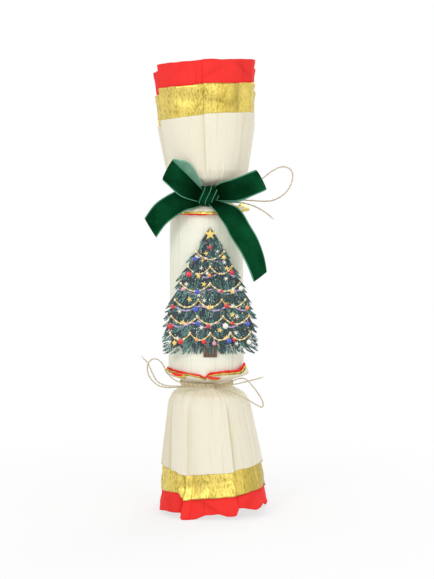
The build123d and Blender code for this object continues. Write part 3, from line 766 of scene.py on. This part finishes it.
def crepe_layer(end, layer, colour):
    """One layer of crepe as a pleated sheet, gathered at the neck and cut to its own hem."""
    bearings = around_axis(end.creases + end.under_creases)
    rightward = np.sin(np.radians(bearings))
    hem = (
        end.drops[layer] + round_axis(end.hems[layer], bearings) + end.tilts[layer] * rightward
        + hem_ripple * waves(bearings, (5, 8, 13, 21), end.seed + layer)
    )
    if end.way < 0:
        hem = np.minimum(hem, end.neck_z - 0.1)
    rim = end.edges[layer] * (1 + end.edge_skew * rightward) - round_axis(end.rim, bearings)
    rim -= rim_ripple * waves(bearings, (7, 11, 17, 29), end.seed + 7 + layer)
    distance = np.vstack((
        rim + (-half_neck - rim) * np.linspace(0, 1, 22)[:, None],
        np.linspace(-half_neck, pleat_start, 80)[1:, None] + 0 * bearings,
        pleat_start + (hem - pleat_start) * np.linspace(0, 1, 34)[1:, None],
    ))

    past_neck = np.maximum(distance - end.neck_end, 0)
    collar_reach = np.maximum(-half_neck - distance, 0)
    gathers = waves(bearings, (13, 17, 23, 29, 37, 48), end.seed + 1)
    fine = waves(bearings, (61, 79, 97, 118), end.seed + 2)
    flutter = waves(bearings, (4, 7, 9, 14), end.seed + 3)
    folds = waves(bearings, (7, 10, 15, 19), end.seed + 4)
    tucks = tuck_depth(end, bearings) * fade(past_neck, 0, 2)
    sunk = sunk_pleats(end.creases, end.laps, bearings) + 0 * distance
    if layer > 0:
        uncovered = fade(distance, end.drops[0] - 1, end.drops[0] + 5)
        sunk += (sunk_pleats(end.under_creases, end.laps, bearings) - sunk) * uncovered

    radius = end_profile(end, distance) - layer * layer_pitch
    radius -= sunk * (0.2 + 0.8 * fade(past_neck, 2, 18))
    radius += (
        gathers * (0.3 + 0.4 * fade(past_neck, 0, 4)) * np.exp(-((past_neck / 9) ** 1.3))
        * (distance > -half_neck)
    )
    radius -= tuck_dip * tucks * np.exp(-past_neck / 3.5)
    radius += spread(end, bearings, distance)
    radius += fine * fine_depth * (0.35 + 0.65 * np.exp(-past_neck / 30))
    radius += flutter * flutter_depth * fade(distance, 35, 85)
    dent = end.dent * np.exp(-(((bearings + 85) / 28) ** 2))
    radius += (0.7 * gathers + 0.9 * (1 + folds) - dent) * fade(collar_reach, 0, 4.5)

    # Painted shade beside each sunk pleat, weaker on the gold and red, and in the tucks at the neck.
    shade = np.clip(sunk / 2.4, 0, 1) ** 1.5 * (0.1 + 0.7 * fade(past_neck, 4, 20))
    shade *= 0.4 if layer else 1
    shade += 0.22 * tucks * np.exp(-past_neck / 4)
    # On the cream, painted shade in the valleys of the collar's bowl.
    if layer == 0:
        bowl = fade(collar_reach, 0.5, 3) * (1 - fade(collar_reach, 6, 9))
        shade += 0.15 * np.clip(-gathers, 0, 1) * bowl
    # On the gold, a painted dim reflection between two bearings, fading in over the first 20 mm past the
    # neck.
    if layer == 1:
        first, last = end.dim_reflection_span
        dimmed_reflection = fade(bearings, first, first + 8) * (1 - fade(bearings, last - 6, last))
        shade += 0.42 * dimmed_reflection * fade(distance, 0, 20)
    # On the red, the wrinkles dip the paper and are painted with shade along them.
    if layer == 2:
        wrinkled = wrinkle_depth(end, bearings, distance)
        radius -= wrinkle_dip * wrinkled
        shade += 0.4 * wrinkled
    round_way = np.radians(bearings) * sheet_radius
    if layer > 0:
        shown_from = end.drops[layer - 1] + 1
        crumples = np.sin(0.19 * round_way + 0.16 * distance)
        crumples *= np.cos(0.11 * round_way - 0.23 * distance + 1)
        radius += crumple_depth * crumples * fade(distance, shown_from, shown_from + 8)

    slant_middle, slant_width, slant_turn = end.slant
    slant = slant_turn * np.exp(-(((bearings - slant_middle) / slant_width) ** 2))
    angle = np.radians(bearings + slant * (1 - fade(distance, 8, 62)))
    slot, material = crepes[colour]
    sheet = piece(
        f"{end.name}_{colour}_layer", end_points(end, angle, radius, distance),
        grid_faces(*distance.shape, flip=end.way < 0), end.body, [material],
        lay=paper_lay(round_way, distance, layer), shade=np.clip(shade, 0, deepest_shade),
    )
    thicken(sheet, crepe_thickness)
    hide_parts(f"{end.name}_frill_{colour}")


def turned_edge(end, colour, lift, stand, turns):
    """Bits of a collar's edge turned over its outside, each between two bearings.

    They lie further off by lift, and keep a share, stand, of their top's radius on the way down.
    """
    points, faces, lay = [], [], []
    hang = np.linspace(0, 1, 9)[:, None]
    for first, last, top_first, top_last, reach in turns:
        bearings = np.linspace(first, last, 25)
        angle = np.radians(bearings)
        t = (bearings - first) / (last - first)
        taper = np.sin(np.pi * np.clip(t, 0.02, 0.98)) ** 0.5
        distance = -(top_first + (top_last - top_first) * t) + reach * taper * hang
        bulge = np.sin(np.pi * hang) * taper
        radius = end_profile(end, distance) * (1 - stand) + end_profile(end, distance[0]) * stand
        radius = radius + turn_gap + lift + turn_bulge * bulge + turn_ripple * np.sin(7 * t) * hang
        faces.append(grid_faces(*distance.shape, start=len(points) * distance.size, flip=end.way < 0))
        points.append(end_points(end, angle, radius, distance))
        lay.append(paper_lay(angle * sheet_radius, distance))
    slot, material = crepes[colour]
    turned = piece(
        f"{end.name}_{colour}_turns", points, np.vstack(faces), end.body, [material], lay=lay
    )
    thicken(turned, crepe_thickness)
    return turned


lower_turns = {
    "gold": [turned_edge(lower_end, "gold", 0.0, 0.0, (
        (-47, -28, 9.0, 8.0, 4.0), (0, 20, 7.8, 5.6, 2.9),
    ))],
    "red": [turned_edge(lower_end, "red", 0.6, 0.0, (
        (-48, -30, 9.6, 8.8, 2.4), (-1, 19, 8.4, 6.2, 2.3),
    ))],
}
upper_turns = {
    "gold": [turned_edge(upper_end, "gold", 0.0, 0.75, ((40, 80, 8.2, 7.0, 5.6),))],
    "cream": [turned_edge(upper_end, "cream", 0.6, 0.75, ((44, 76, 7.3, 6.2, 4.0),))],
}
for end, turns in ((lower_end, lower_turns), (upper_end, upper_turns)):
    for layer, colour in enumerate(crepes):
        crepe_layer(end, layer, colour)


# Lining of each end, and the sleeve of the barrel

lining_thickness = 0.3
lining_radius = 23
lining_flare = 20
sleeve_thickness = 0.25
sleeve_sink = 0.12
crease_depth = 0.07
drift_depth = 0.05
lap_step = 0.3


def lining(end):
    """Tissue tucked into the tube, drawn in round the snap and flared past the neck."""
    bearings = np.linspace(-180, 180, 241)
    angle = np.radians(bearings)
    mouth = end.neck_end + lining_flare
    stops, radii = zip((-12.8, 23.1), (-6.2, 23.1), (-1.5, 6.1), (end.neck_end, 6.1), (mouth, 13.0))
    distance = np.linspace(stops[0], stops[-1], 80)[:, None] + 0 * bearings
    folds = waves(bearings, (12, 17, 24), end.seed + 9)
    drawn_in = fade(distance, -6.5, -2) * (1 - 0.3 * fade(distance, end.neck_end, mouth))
    radius = np.interp(distance, stops, radii) * (1 - 0.035 * (1 - folds) * drawn_in)
    sheet = piece(
        f"{end.name}_lining_tissue", end_points(end, angle, radius, distance),
        grid_faces(*distance.shape, flip=end.way < 0), end.body, [tissue],
        lay=paper_lay(angle * lining_radius, distance),
    )
    thicken(sheet, lining_thickness)
    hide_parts(f"{end.name}_lining")


def barrel_sleeve():
    """Cream crepe drawn smooth round the tube, slack at its foot, with its lap at the back."""
    bearings = np.linspace(-180, 180, 541)
    angle = np.radians(bearings)
    foot = barrel_low[2]
    heights = np.linspace(foot, barrel_high[2], 90)[:, None] + 0 * bearings
    creases = waves(bearings, (31, 47, 63, 88, 120), 61)
    drift = waves(bearings, (6, 11, 17), 62)
    lap = fade(np.abs(bearings), 179.2, 180) * lap_step
    slack = (0.75 - 0.25 * np.sin(angle)) * (1 - fade(heights, foot + 12, foot + 50))
    radius = (
        barrel_radius - sleeve_sink + crease_depth * creases
        + drift_depth * drift * np.sin(heights / 21) - lap + slack
    )
    sheet = piece(
        "barrel_crepe", np.stack((radius * np.sin(angle), -radius * np.cos(angle), heights), axis=-1),
        grid_faces(*heights.shape), "barrel", [barrel_crepe],
        lay=paper_lay(angle * barrel_radius, heights),
    )
    thicken(sheet, sleeve_thickness)
    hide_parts("barrel_sleeve")


lining(lower_end)
lining(upper_end)
barrel_sleeve()


# Velvet ribbon: a band round the neck, the bow's knot, two loops and two tails

ribbon_width = 15.0
ribbon_thickness = 0.8
ribbon_columns = 25
# Each turn of the knot: its middle from the bow's, half its width, its size
knot_turns = ((-5.8, 3.3, 0.98), (-1.9, 3.5, 1.06), (2.2, 3.5, 1.12), (6.0, 2.6, 1.0))


def through(rows, steps):
    """Points on the smooth curve through rows of numbers, evenly stepped between each pair."""
    rows = np.array(rows, dtype=float)
    padded = np.vstack((rows[:1], rows, rows[-1:]))
    t = np.linspace(0, 1, steps, endpoint=False)[:, None]
    spans = []
    for a, b, c, d in zip(padded, padded[1:], padded[2:], padded[3:]):
        spans.append(
            b + t * ((c - a) / 2 + t * (a - 2.5 * b + 2 * c - d / 2 + t * (1.5 * (b - c) + (d - a) / 2)))
        )
    return np.vstack((*spans, rows[-1:]))


def ribbon_mesh(node_name, centres, across, normals, half_widths, side):
    """Ribbon along a line of centres, velvet on one side and satin on the other."""
    w = np.linspace(-1, 1, ribbon_columns)
    rows, columns = len(centres), len(w)
    total = rows * columns
    outward = side * normals[:, None]
    cup = (-0.5 * w ** 2)[None, :, None]
    surface = centres[:, None] + across[:, None] * (half_widths[:, None] * w)[..., None] + outward * cup
    half = ribbon_thickness / 2 * (1 - 0.7 * np.abs(w) ** 12)[None, :, None]
    corner = np.arange(total).reshape(rows, columns)
    loop = np.concatenate((corner[0, :], corner[1:, -1], corner[-1, -2::-1], corner[-2:0:-1, 0]))
    following = np.roll(loop, -1)
    rim = np.stack((loop, loop + total, following + total, following), axis=-1)
    faces = (
        grid_faces(rows, columns, flip=side < 0), grid_faces(rows, columns, total, flip=side > 0),
        rim if side > 0 else rim[:, ::-1],
    )
    lay = paper_lay(w, lengths_along(centres)[:, None])
    from_bow = np.linalg.norm(centres - bow_middle, axis=1)
    # Painted shade on the velvet, darkest near the bow and fading out along the ribbon.
    shade_near_bow = (0.95 * (1 - fade(from_bow, 6, 36)))[:, None] + 0 * w
    ribbon = piece(
        node_name.replace("ribbon", "velvet"), (surface + outward * half, surface - outward * half),
        np.vstack(faces), "upper_end", [velvet, satin], lay=(lay, lay),
        shade=(shade_near_bow, shade_near_bow), picks=np.repeat((0, 1, 0), [len(group) for group in faces]),
    )
    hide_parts(node_name)


def ribbon_stretch(name, stations, side):
    """Ribbon through stations: place from the bow's middle, direction across, share of the width."""
    rows = through([(*place, *across, share) for place, across, share in stations], 20)
    centres = bow_middle + rows[:, :3]
    across = rows[:, 3:6] / np.linalg.norm(rows[:, 3:6], axis=1)[:, None]
    along = np.gradient(centres, axis=0)
    along -= across * (along * across).sum(axis=1)[:, None]
    along /= np.linalg.norm(along, axis=1)[:, None]
    ribbon_mesh(
        name, centres, across, np.cross(along, across), ribbon_width / 2 * rows[:, 6], side,
    )


ribbon_stretch("ribbon_loop_left", (
    ((-4.0, -4.3, 0.0), (-3, 0, -9), 0.6), ((-13.6, -11.4, 6.2), (-5, 0, -14), 1.0),
    ((-20.5, -12.5, 12.4), (-7, 0, -13), 1.0), ((-25.2, -9.6, 17.2), (-7.2, 0, -13), 1.0),
    ((-20.6, -7.0, 16.8), (-7, 0, -13), 1.0), ((-12.8, -6.4, 14.0), (-5, 0, -13), 0.95),
    ((-4.0, -0.6, 3.8), (-3, 0, -9), 0.55),
), 1)
ribbon_stretch("ribbon_loop_right", (
    ((4.0, -1.8, 0.6), (1, 0, -9), 0.5), ((10.0, -5.4, 2.2), (2.4, 0, -12), 0.82),
    ((19.5, -7.6, 3.7), (4, 0, -13.5), 1.0), ((31.5, -8.6, 8.2), (6, 0, -13), 1.0),
    ((36.4, -6.8, 10.4), (6.6, 0, -12.6), 0.98), ((31.5, -5.0, 8.6), (6, 0, -13), 1.0),
    ((19.5, -3.8, 2.9), (4, 0, -13), 1.0), ((10.0, -1.8, 1.2), (2.4, 0, -12), 0.8),
    ((4.0, 1.2, 0.6), (1, 0, -9), 0.5),
), -1)
ribbon_stretch("ribbon_tail_left", (
    ((-4.0, 0.6, -2.8), (3, 0, -9), 0.5), ((-9.5, -6.0, -3.0), (4, 0, -12), 0.75),
    ((-16.5, -7.4, -3.6), (5.5, 0, -13), 0.95), ((-25.2, -5.8, -8.4), (8, 0, -12.7), 1.0),
    ((-31.2, -3.4, -13.4), (8, 0, -12.7), 1.0), ((-37.0, -1.0, -21.4), (8.1, 0, -13.3), 1.0),
), 1)
ribbon_stretch("ribbon_tail_right", (
    ((4.0, -3.2, -4.2), (8, 0, 4), 0.38), ((10.2, -9.1, -7.6), (9, 0, 4.2), 0.7),
    ((14.4, -9.4, -10.9), (11.4, 0, 5.4), 0.93), ((18.6, -9.4, -16.2), (12.2, 0, 7.4), 0.97),
    ((22.4, -9.0, -23.2), (12.4, 1, 8.2), 1.0), ((28.3, -8.4, -32.6), (11.4, 4, 9), 1.0),
    ((33.0, -7.8, -43.4), (10.4, 7.5, 6.5), 1.0), ((35.9, -7.2, -53.2), (9, 10.3, 6.2), 1.0),
), 1)


def ribbon_band():
    """Band of ribbon drawn round the neck under the bow."""
    low, high = corners("ribbon_band")
    bearings = np.radians(np.linspace(-180, 180, 121))
    radius = high[0] - ribbon_thickness / 2
    normals = np.stack((np.sin(bearings), -np.cos(bearings), 0 * bearings), axis=1)
    centres = radius * normals
    centres[:, 2] = (low[2] + high[2]) / 2
    across = np.tile((0.0, 0.0, 1.0), (len(bearings), 1))
    half_widths = np.full(len(bearings), (high[2] - low[2]) / 2)
    ribbon_mesh(
        "ribbon_band", centres, across, normals, half_widths, 1,
    )


def bow_knot():
    """Knot of the bow: ribbon drawn over its middle in slanting turns, each edge lapped on the next."""
    low, high = corners("ribbon_knot")
    half_depth, half_height = (high[1] - low[1]) / 2, (high[2] - low[2]) / 2
    turn = np.linspace(0, 2 * np.pi, 97)[:, None]
    w = np.linspace(-1, 1, 19)
    points, faces, lay, shade = [], [], [], []
    for middle_x, half, scale in knot_turns:
        lapped = scale * (1 + 0.15 * w - 0.07 * w ** 2)
        y = -half_depth * lapped * np.cos(turn)
        z = half_height * lapped * np.sin(turn)
        x = middle_x + w * half + 0.36 * z + 0.3 * np.sin(3 * turn)
        faces.append(grid_faces(*x.shape, start=len(points) * x.size))
        points.append(np.stack((x, y, z), axis=-1) + bow_middle)
        lay.append(paper_lay(np.where(w > 0, 1.05 * w, 0.8 * w), 8 * turn))
        # Painted shade over the whole knot, deepest beside the edge that each turn tucks under.
        shade.append(0.35 + 0.6 * fade(-w, -0.2, 0.7) + 0 * x)
    knot = piece(
        "velvet_knot", points, np.vstack(faces), "upper_end", [velvet], lay=lay,
        shade=shade,
    )
    thicken(knot, ribbon_thickness)
    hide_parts("ribbon_knot")


ribbon_band()
bow_knot()


# Picture on the card tree: needles, twisted ribbons, swags of beads, baubles and stars in low relief

card_low, card_high = corners("tree_scrap")
card_middle_x = (card_low[0] + card_high[0]) / 2
card_half_width = (card_high[0] - card_low[0]) / 2
card_height = card_high[2] - card_low[2]
card_curve = 110.5
card_front = -card_low[1]
foot_height = 15.0
needle_half_width = 0.32
needle_floor = 1.5
needle_overhang = 1.2
needle_palette = np.array((
    (0.030, 0.056, 0.068), (0.042, 0.115, 0.108), (0.078, 0.200, 0.178), (0.28, 0.46, 0.40),
))
bark_tint = np.array((0.13, 0.065, 0.032))


def on_card(x, height, lift):
    """Point on the front of the card, x from its middle line, height from its foot."""
    place_x = card_middle_x + x
    y = -(card_front - card_curve) - math.sqrt((card_curve + lift) ** 2 - place_x ** 2)
    return (place_x, y, card_low[2] + height)


def half_width_at(height):
    """Half width of the tree under its pointed arch."""
    share = min(max((card_height - height) / (card_height - foot_height), 0), 1)
    return card_half_width * math.sin(share * math.pi / 2)


def needle_sprays():
    """Sprays in rows up the tree: needles to both sides of a stem that isn't drawn."""
    rng = np.random.default_rng(71)
    points, faces, tints = [], [], []

    def add_needle(stem_x, stem_height, direction, length, lift, shade):
        """Ridged needle from its stem, left out where its tip would pass the card's edge."""
        tip_x = stem_x + math.sin(direction) * length
        tip_height = stem_height - math.cos(direction) * length
        if tip_height < needle_floor or abs(tip_x) > half_width_at(tip_height) + needle_overhang:
            return
        across_x = needle_half_width * math.cos(direction)
        across_h = needle_half_width * math.sin(direction)
        mid_x, mid_h = (stem_x + tip_x) / 2, (stem_height + tip_height) / 2
        first = len(points)
        points.extend((
            on_card(stem_x, stem_height, lift),
            on_card(mid_x + across_x, mid_h + across_h, lift),
            on_card(tip_x, tip_height, lift + 0.1),
            on_card(mid_x - across_x, mid_h - across_h, lift),
            on_card(mid_x, mid_h, lift + 0.22),
        ))
        faces.extend((first + a, first + b, first + 4) for a, b in ((1, 0), (2, 1), (3, 2), (0, 3)))
        tone = needle_palette[rng.integers(0, 3)] * shade
        light = needle_palette[3] * shade if rng.random() < 0.65 else tone
        tints.extend((tone * 0.4, tone, light, tone, tone * 1.2))

    for level, height in enumerate(np.linspace(7, card_height - 7, 22)):
        width = half_width_at(height) * (0.82 if height > foot_height else 0.9)
        count = max(3, int(2 * width / 3.7))
        for x in np.linspace(-width, width, count):
            x = x + rng.normal(0, 0.7)
            base_height = height + rng.normal(0, 0.8)
            lean = 0.95 * x / card_half_width + rng.normal(0, 0.16)
            span = rng.uniform(6.5, 9.0)
            shade = rng.choice((0.55, 0.8, 1.1, 1.45))
            lift = 0.15 + 0.4 * rng.random() + 0.03 * level
            for k in range(11):
                t = k / 10
                stem_x = x + math.sin(lean) * span * t
                stem_height = base_height - math.cos(lean) * span * t * (1 - 0.25 * t)
                for side in (-1, 1):
                    direction = lean + side * rng.uniform(0.45, 0.8) * (1 - 0.6 * t)
                    length = (2.9 - 1.3 * t) * rng.uniform(0.8, 1.15)
                    add_needle(stem_x, stem_height, direction, length, lift, shade)
    piece("tree_needles", points, faces, "barrel", [needle_print], tints=tints, smooth=False)


def ball(rings=6, sides=12):
    """Points and faces of a half ball, facing the front."""
    points = [(0.0, -1.0, 0.0)]
    for ring in range(1, rings + 1):
        a = math.pi / 2 * ring / rings
        for s in range(sides):
            b = 2 * math.pi * s / sides
            points.append((math.sin(a) * math.cos(b), -math.cos(a), math.sin(a) * math.sin(b)))
    faces = [(0, 1 + s, 1 + (s + 1) % sides) for s in range(sides)]
    for ring in range(rings - 1):
        for s in range(sides):
            a, b = 1 + ring * sides + s, 1 + ring * sides + (s + 1) % sides
            faces.append((a, a + sides, b + sides, b))
    return np.array(points), faces


def ornaments():
    """Twisted ribbons, swags of beads, baubles, stars and loose beads, the same on every run."""
    rng = np.random.default_rng(72)
    points, faces, tints = [], [], []
    shape, shape_faces = ball()
    # Painted highlight towards the upper left and painted shade towards the lower right of every half
    # ball.
    lit = shape @ (-0.5, 0, 0.6)
    painted_glint_and_shade = (1.0 + 0.55 * np.maximum(lit, 0) - 0.35 * np.maximum(-lit, 0))[:, None]
    gold, red, blue, amber, pearl, rose, lilac, star_gold, top_gold = np.array((
        (0.90, 0.62, 0.17), (0.66, 0.020, 0.030), (0.05, 0.09, 0.48), (0.82, 0.27, 0.08),
        (0.88, 0.85, 0.74), (0.74, 0.33, 0.44), (0.48, 0.35, 0.60), (0.86, 0.62, 0.16),
        (0.88, 0.64, 0.16),
    ))

    def add_point(x, height, lift, tint):
        """Point on the card with its tint."""
        points.append(on_card(x, height, lift))
        tints.append(tint)

    def add_ball(x, height, radius, tint, lift, depth=0.55):
        """Half ball on the card, flattened to a share of its radius, with its painted highlight and
        shade.
        """
        first = len(points)
        points.extend(on_card(x, height, lift) + shape * (radius, radius * depth, radius))
        tints.extend(tint * painted_glint_and_shade)
        faces.extend(tuple(first + i for i in face) for face in shape_faces)

    def add_star(x, height, radius, tint, lift, turn, tips=5, waist=0.42):
        """Star on the card, raised in its middle, with a painted highlight there and painted shade at its
        inner corners.
        """
        first, count = len(points), 2 * tips
        add_point(x, height, lift + 0.55, tint * 1.25)
        for k in range(count):
            reach = radius if k % 2 == 0 else radius * waist
            a = turn + math.pi / tips * k
            shade = 0.75 if k % 2 else 1.0
            add_point(x + reach * math.sin(a), height + reach * math.cos(a), lift, tint * shade)
        faces.extend((first, first + 1 + (k + 1) % count, first + 1 + k) for k in range(count))

    for row, top in enumerate((65, 54.5, 43.5, 32.5, 21.5)):
        width = half_width_at(top) * 0.84
        first, count = len(points), 18 + 10 * row
        for k in range(count + 1):
            t = k / count
            x = -width + 2 * width * t
            height = top + 1.5 * math.sin((row + 2) * math.pi * t + 0.7 * row)
            twist = math.cos(1.9 * k)
            for edge in (-1, 1):
                lift = 0.75 + 0.2 * edge * twist
                # The tint is painted lighter and darker as the ribbon twists, painted light and shade.
                add_point(x, height + 0.5 * edge, lift, lilac * (1.0 + 0.35 * twist))
        faces.extend((k, k + 2, k + 3, k + 1) for k in range(first, first + 2 * count, 2))

    for row, top in enumerate((70, 60, 49, 38, 27, 16)):
        width = half_width_at(top) * 0.86
        swags = 1 + (row + 1) // 2
        for s in range(swags):
            left = -width + 2 * width * s / swags
            right = -width + 2 * width * (s + 1) / swags
            sag = 3.2 + 0.10 * (right - left)
            beads = max(8, int((right - left) * 1.25 / 0.95))
            for k in range(beads + 1):
                t = k / beads
                radius, tint = (0.5, gold) if k % 4 else (0.68, pearl)
                add_ball(left + (right - left) * t, top - 4 * sag * t * (1 - t), radius, tint, 0.7, 0.9)
            add_ball(left, top + 0.3, 0.8, gold, 0.7)
        add_ball(width, top + 0.3, 0.8, gold, 0.7)

    tints_by_turn = (red, blue, gold, red, amber, red, rose, blue, red, pearl)
    made = 0
    for row, height in enumerate((74, 65, 55.5, 44.5, 33, 21.5, 10.5)):
        width = half_width_at(height) * 0.8
        count = 1 + row + (row > 4)
        for k in range(count):
            x = 0 if count == 1 else -width + 2 * width * k / (count - 1)
            x += 2.0 * math.sin(made * 2.4)
            radius = (1.25, 1.7, 1.45, 1.95)[made % 4]
            drop = height - 1.2 * math.cos(made * 1.7)
            add_ball(x, drop, radius, tints_by_turn[made % 10], 0.75)
            add_ball(x, drop + radius + 0.25, 0.38, gold, 0.75)
            made += 1
    for k in range(12):
        height = 13 + 5.1 * k
        x = half_width_at(height) * 0.62 * math.sin(k * 2.2 + 0.6)
        add_star(x, height, 2.2, star_gold, 0.8, 0.3 * math.sin(k))
    for k in range(18):
        height = 9 + 3.6 * k
        x = half_width_at(height) * 0.7 * math.sin(k * 2.5 + 2.2)
        add_star(x, height, 2.0, pearl, 0.85, 0.4 * math.cos(k), 6, 0.34)
    for k in range(190):
        height = rng.uniform(6, card_height - 10)
        x = rng.uniform(-0.92, 0.92) * half_width_at(height)
        add_ball(x, height, rng.uniform(0.26, 0.42), (gold, pearl, gold, amber)[k % 4], 0.7)
    add_star(0, card_height - 4.5, 4.2, top_gold, 0.8, 0)
    piece("tree_ornaments", points, faces, "barrel", [ornament_print], tints=tints)


def trunk():
    """Stub of trunk below the boughs, ridged like bark."""
    rng = np.random.default_rng(73)
    points, tints = [], []
    columns, rows = 19, 9
    for r in range(rows):
        for c in range(columns):
            w = -1 + 2 * c / (columns - 1)
            ridge = 0.5 + 0.5 * math.cos(w * 14 + 0.8 * math.sin(r))
            points.append(on_card(w * 4.3, 0.2 + 0.9 * r, 0.05 + 0.25 * ridge * (1 - w ** 8)))
            # The bark is tinted lighter on its raised ridges and darker in the grooves between, painted
            # shade and highlight.
            tints.append(bark_tint * (0.5 + 0.9 * ridge) * rng.uniform(0.85, 1.15))
    faces = grid_faces(rows, columns)
    piece("tree_trunk", points, faces, "barrel", [needle_print], tints=tints)


trunk()
needle_sprays()
ornaments()


# Stage: pale floor and soft light

floor_half = 4
object_middle = (0, 0, 0.15)


def seen_directly(tree):
    """1 for rays from the camera, from gloss and through glass, else 0."""
    path = node(tree, "ShaderNodeLightPath").outputs
    seen = calculated(tree, "MAXIMUM", path["Is Camera Ray"], path["Is Glossy Ray"])
    return calculated(tree, "MAXIMUM", seen, path["Is Transmission Ray"])


floor_material, floor_tree, floor_shader = new_material("floor", (0.93, 0.93, 0.93), 0.9)
glow = node(floor_tree, "ShaderNodeEmission", {"Color": (1, 1, 1, 1), "Strength": 1.0})
from_middle = node(floor_tree, "ShaderNodeVectorMath", {
    0: node(floor_tree, "ShaderNodeTexCoord").outputs["Object"],
}, operation="LENGTH").outputs["Value"]
whiteness = ranged(floor_tree, from_middle, 0.72, 1.0, 0.05, 0.3)
floor_mix = node(floor_tree, "ShaderNodeMixShader", {
    "Fac": calculated(floor_tree, "MULTIPLY", seen_directly(floor_tree), whiteness),
    1: floor_shader.outputs["BSDF"], 2: glow.outputs["Emission"],
})
floor_tree.links.new(
    floor_mix.outputs["Shader"], floor_tree.nodes["Material Output"].inputs["Surface"]
)
floor_mesh = bpy.data.meshes.new("floor")
floor_mesh.from_pydata(
    [(x * floor_half, y * floor_half, 0) for x, y in ((-1, -1), (1, -1), (1, 1), (-1, 1))],
    [], [(0, 1, 2, 3)],
)
floor_mesh.materials.append(floor_material)
floor = bpy.data.objects.new("floor", floor_mesh)
scene.collection.objects.link(floor)

world = bpy.data.worlds.new("studio")
scene.world = world
world.use_nodes = True
strength = ranged(world.node_tree, seen_directly(world.node_tree), 0.62, 1.0)
background = world.node_tree.nodes["Background"]
background.inputs["Color"].default_value = (1, 1, 1, 1)
world.node_tree.links.new(strength, background.inputs["Strength"])


def soft_light(name, place, size, power):
    """Round lamp, aimed at the middle of the object."""
    lamp_data = bpy.data.lights.new(name, "AREA")
    lamp_data.shape = "DISK"
    lamp_data.size = size
    lamp_data.energy = power
    lamp = bpy.data.objects.new(name, lamp_data)
    lamp.location = place
    lamp.rotation_euler = (Vector(object_middle) - Vector(place)).to_track_quat("-Z", "Y").to_euler()
    scene.collection.objects.link(lamp)


soft_light("key", (-0.75, -1.25, 0.95), 0.9, 8.4)
soft_light("fill", (0.9, -1.1, 0.40), 0.9, 3.9)
soft_light("rim", (0.5, 0.9, 0.9), 0.8, 4)

scene.view_settings.view_transform = "Standard"
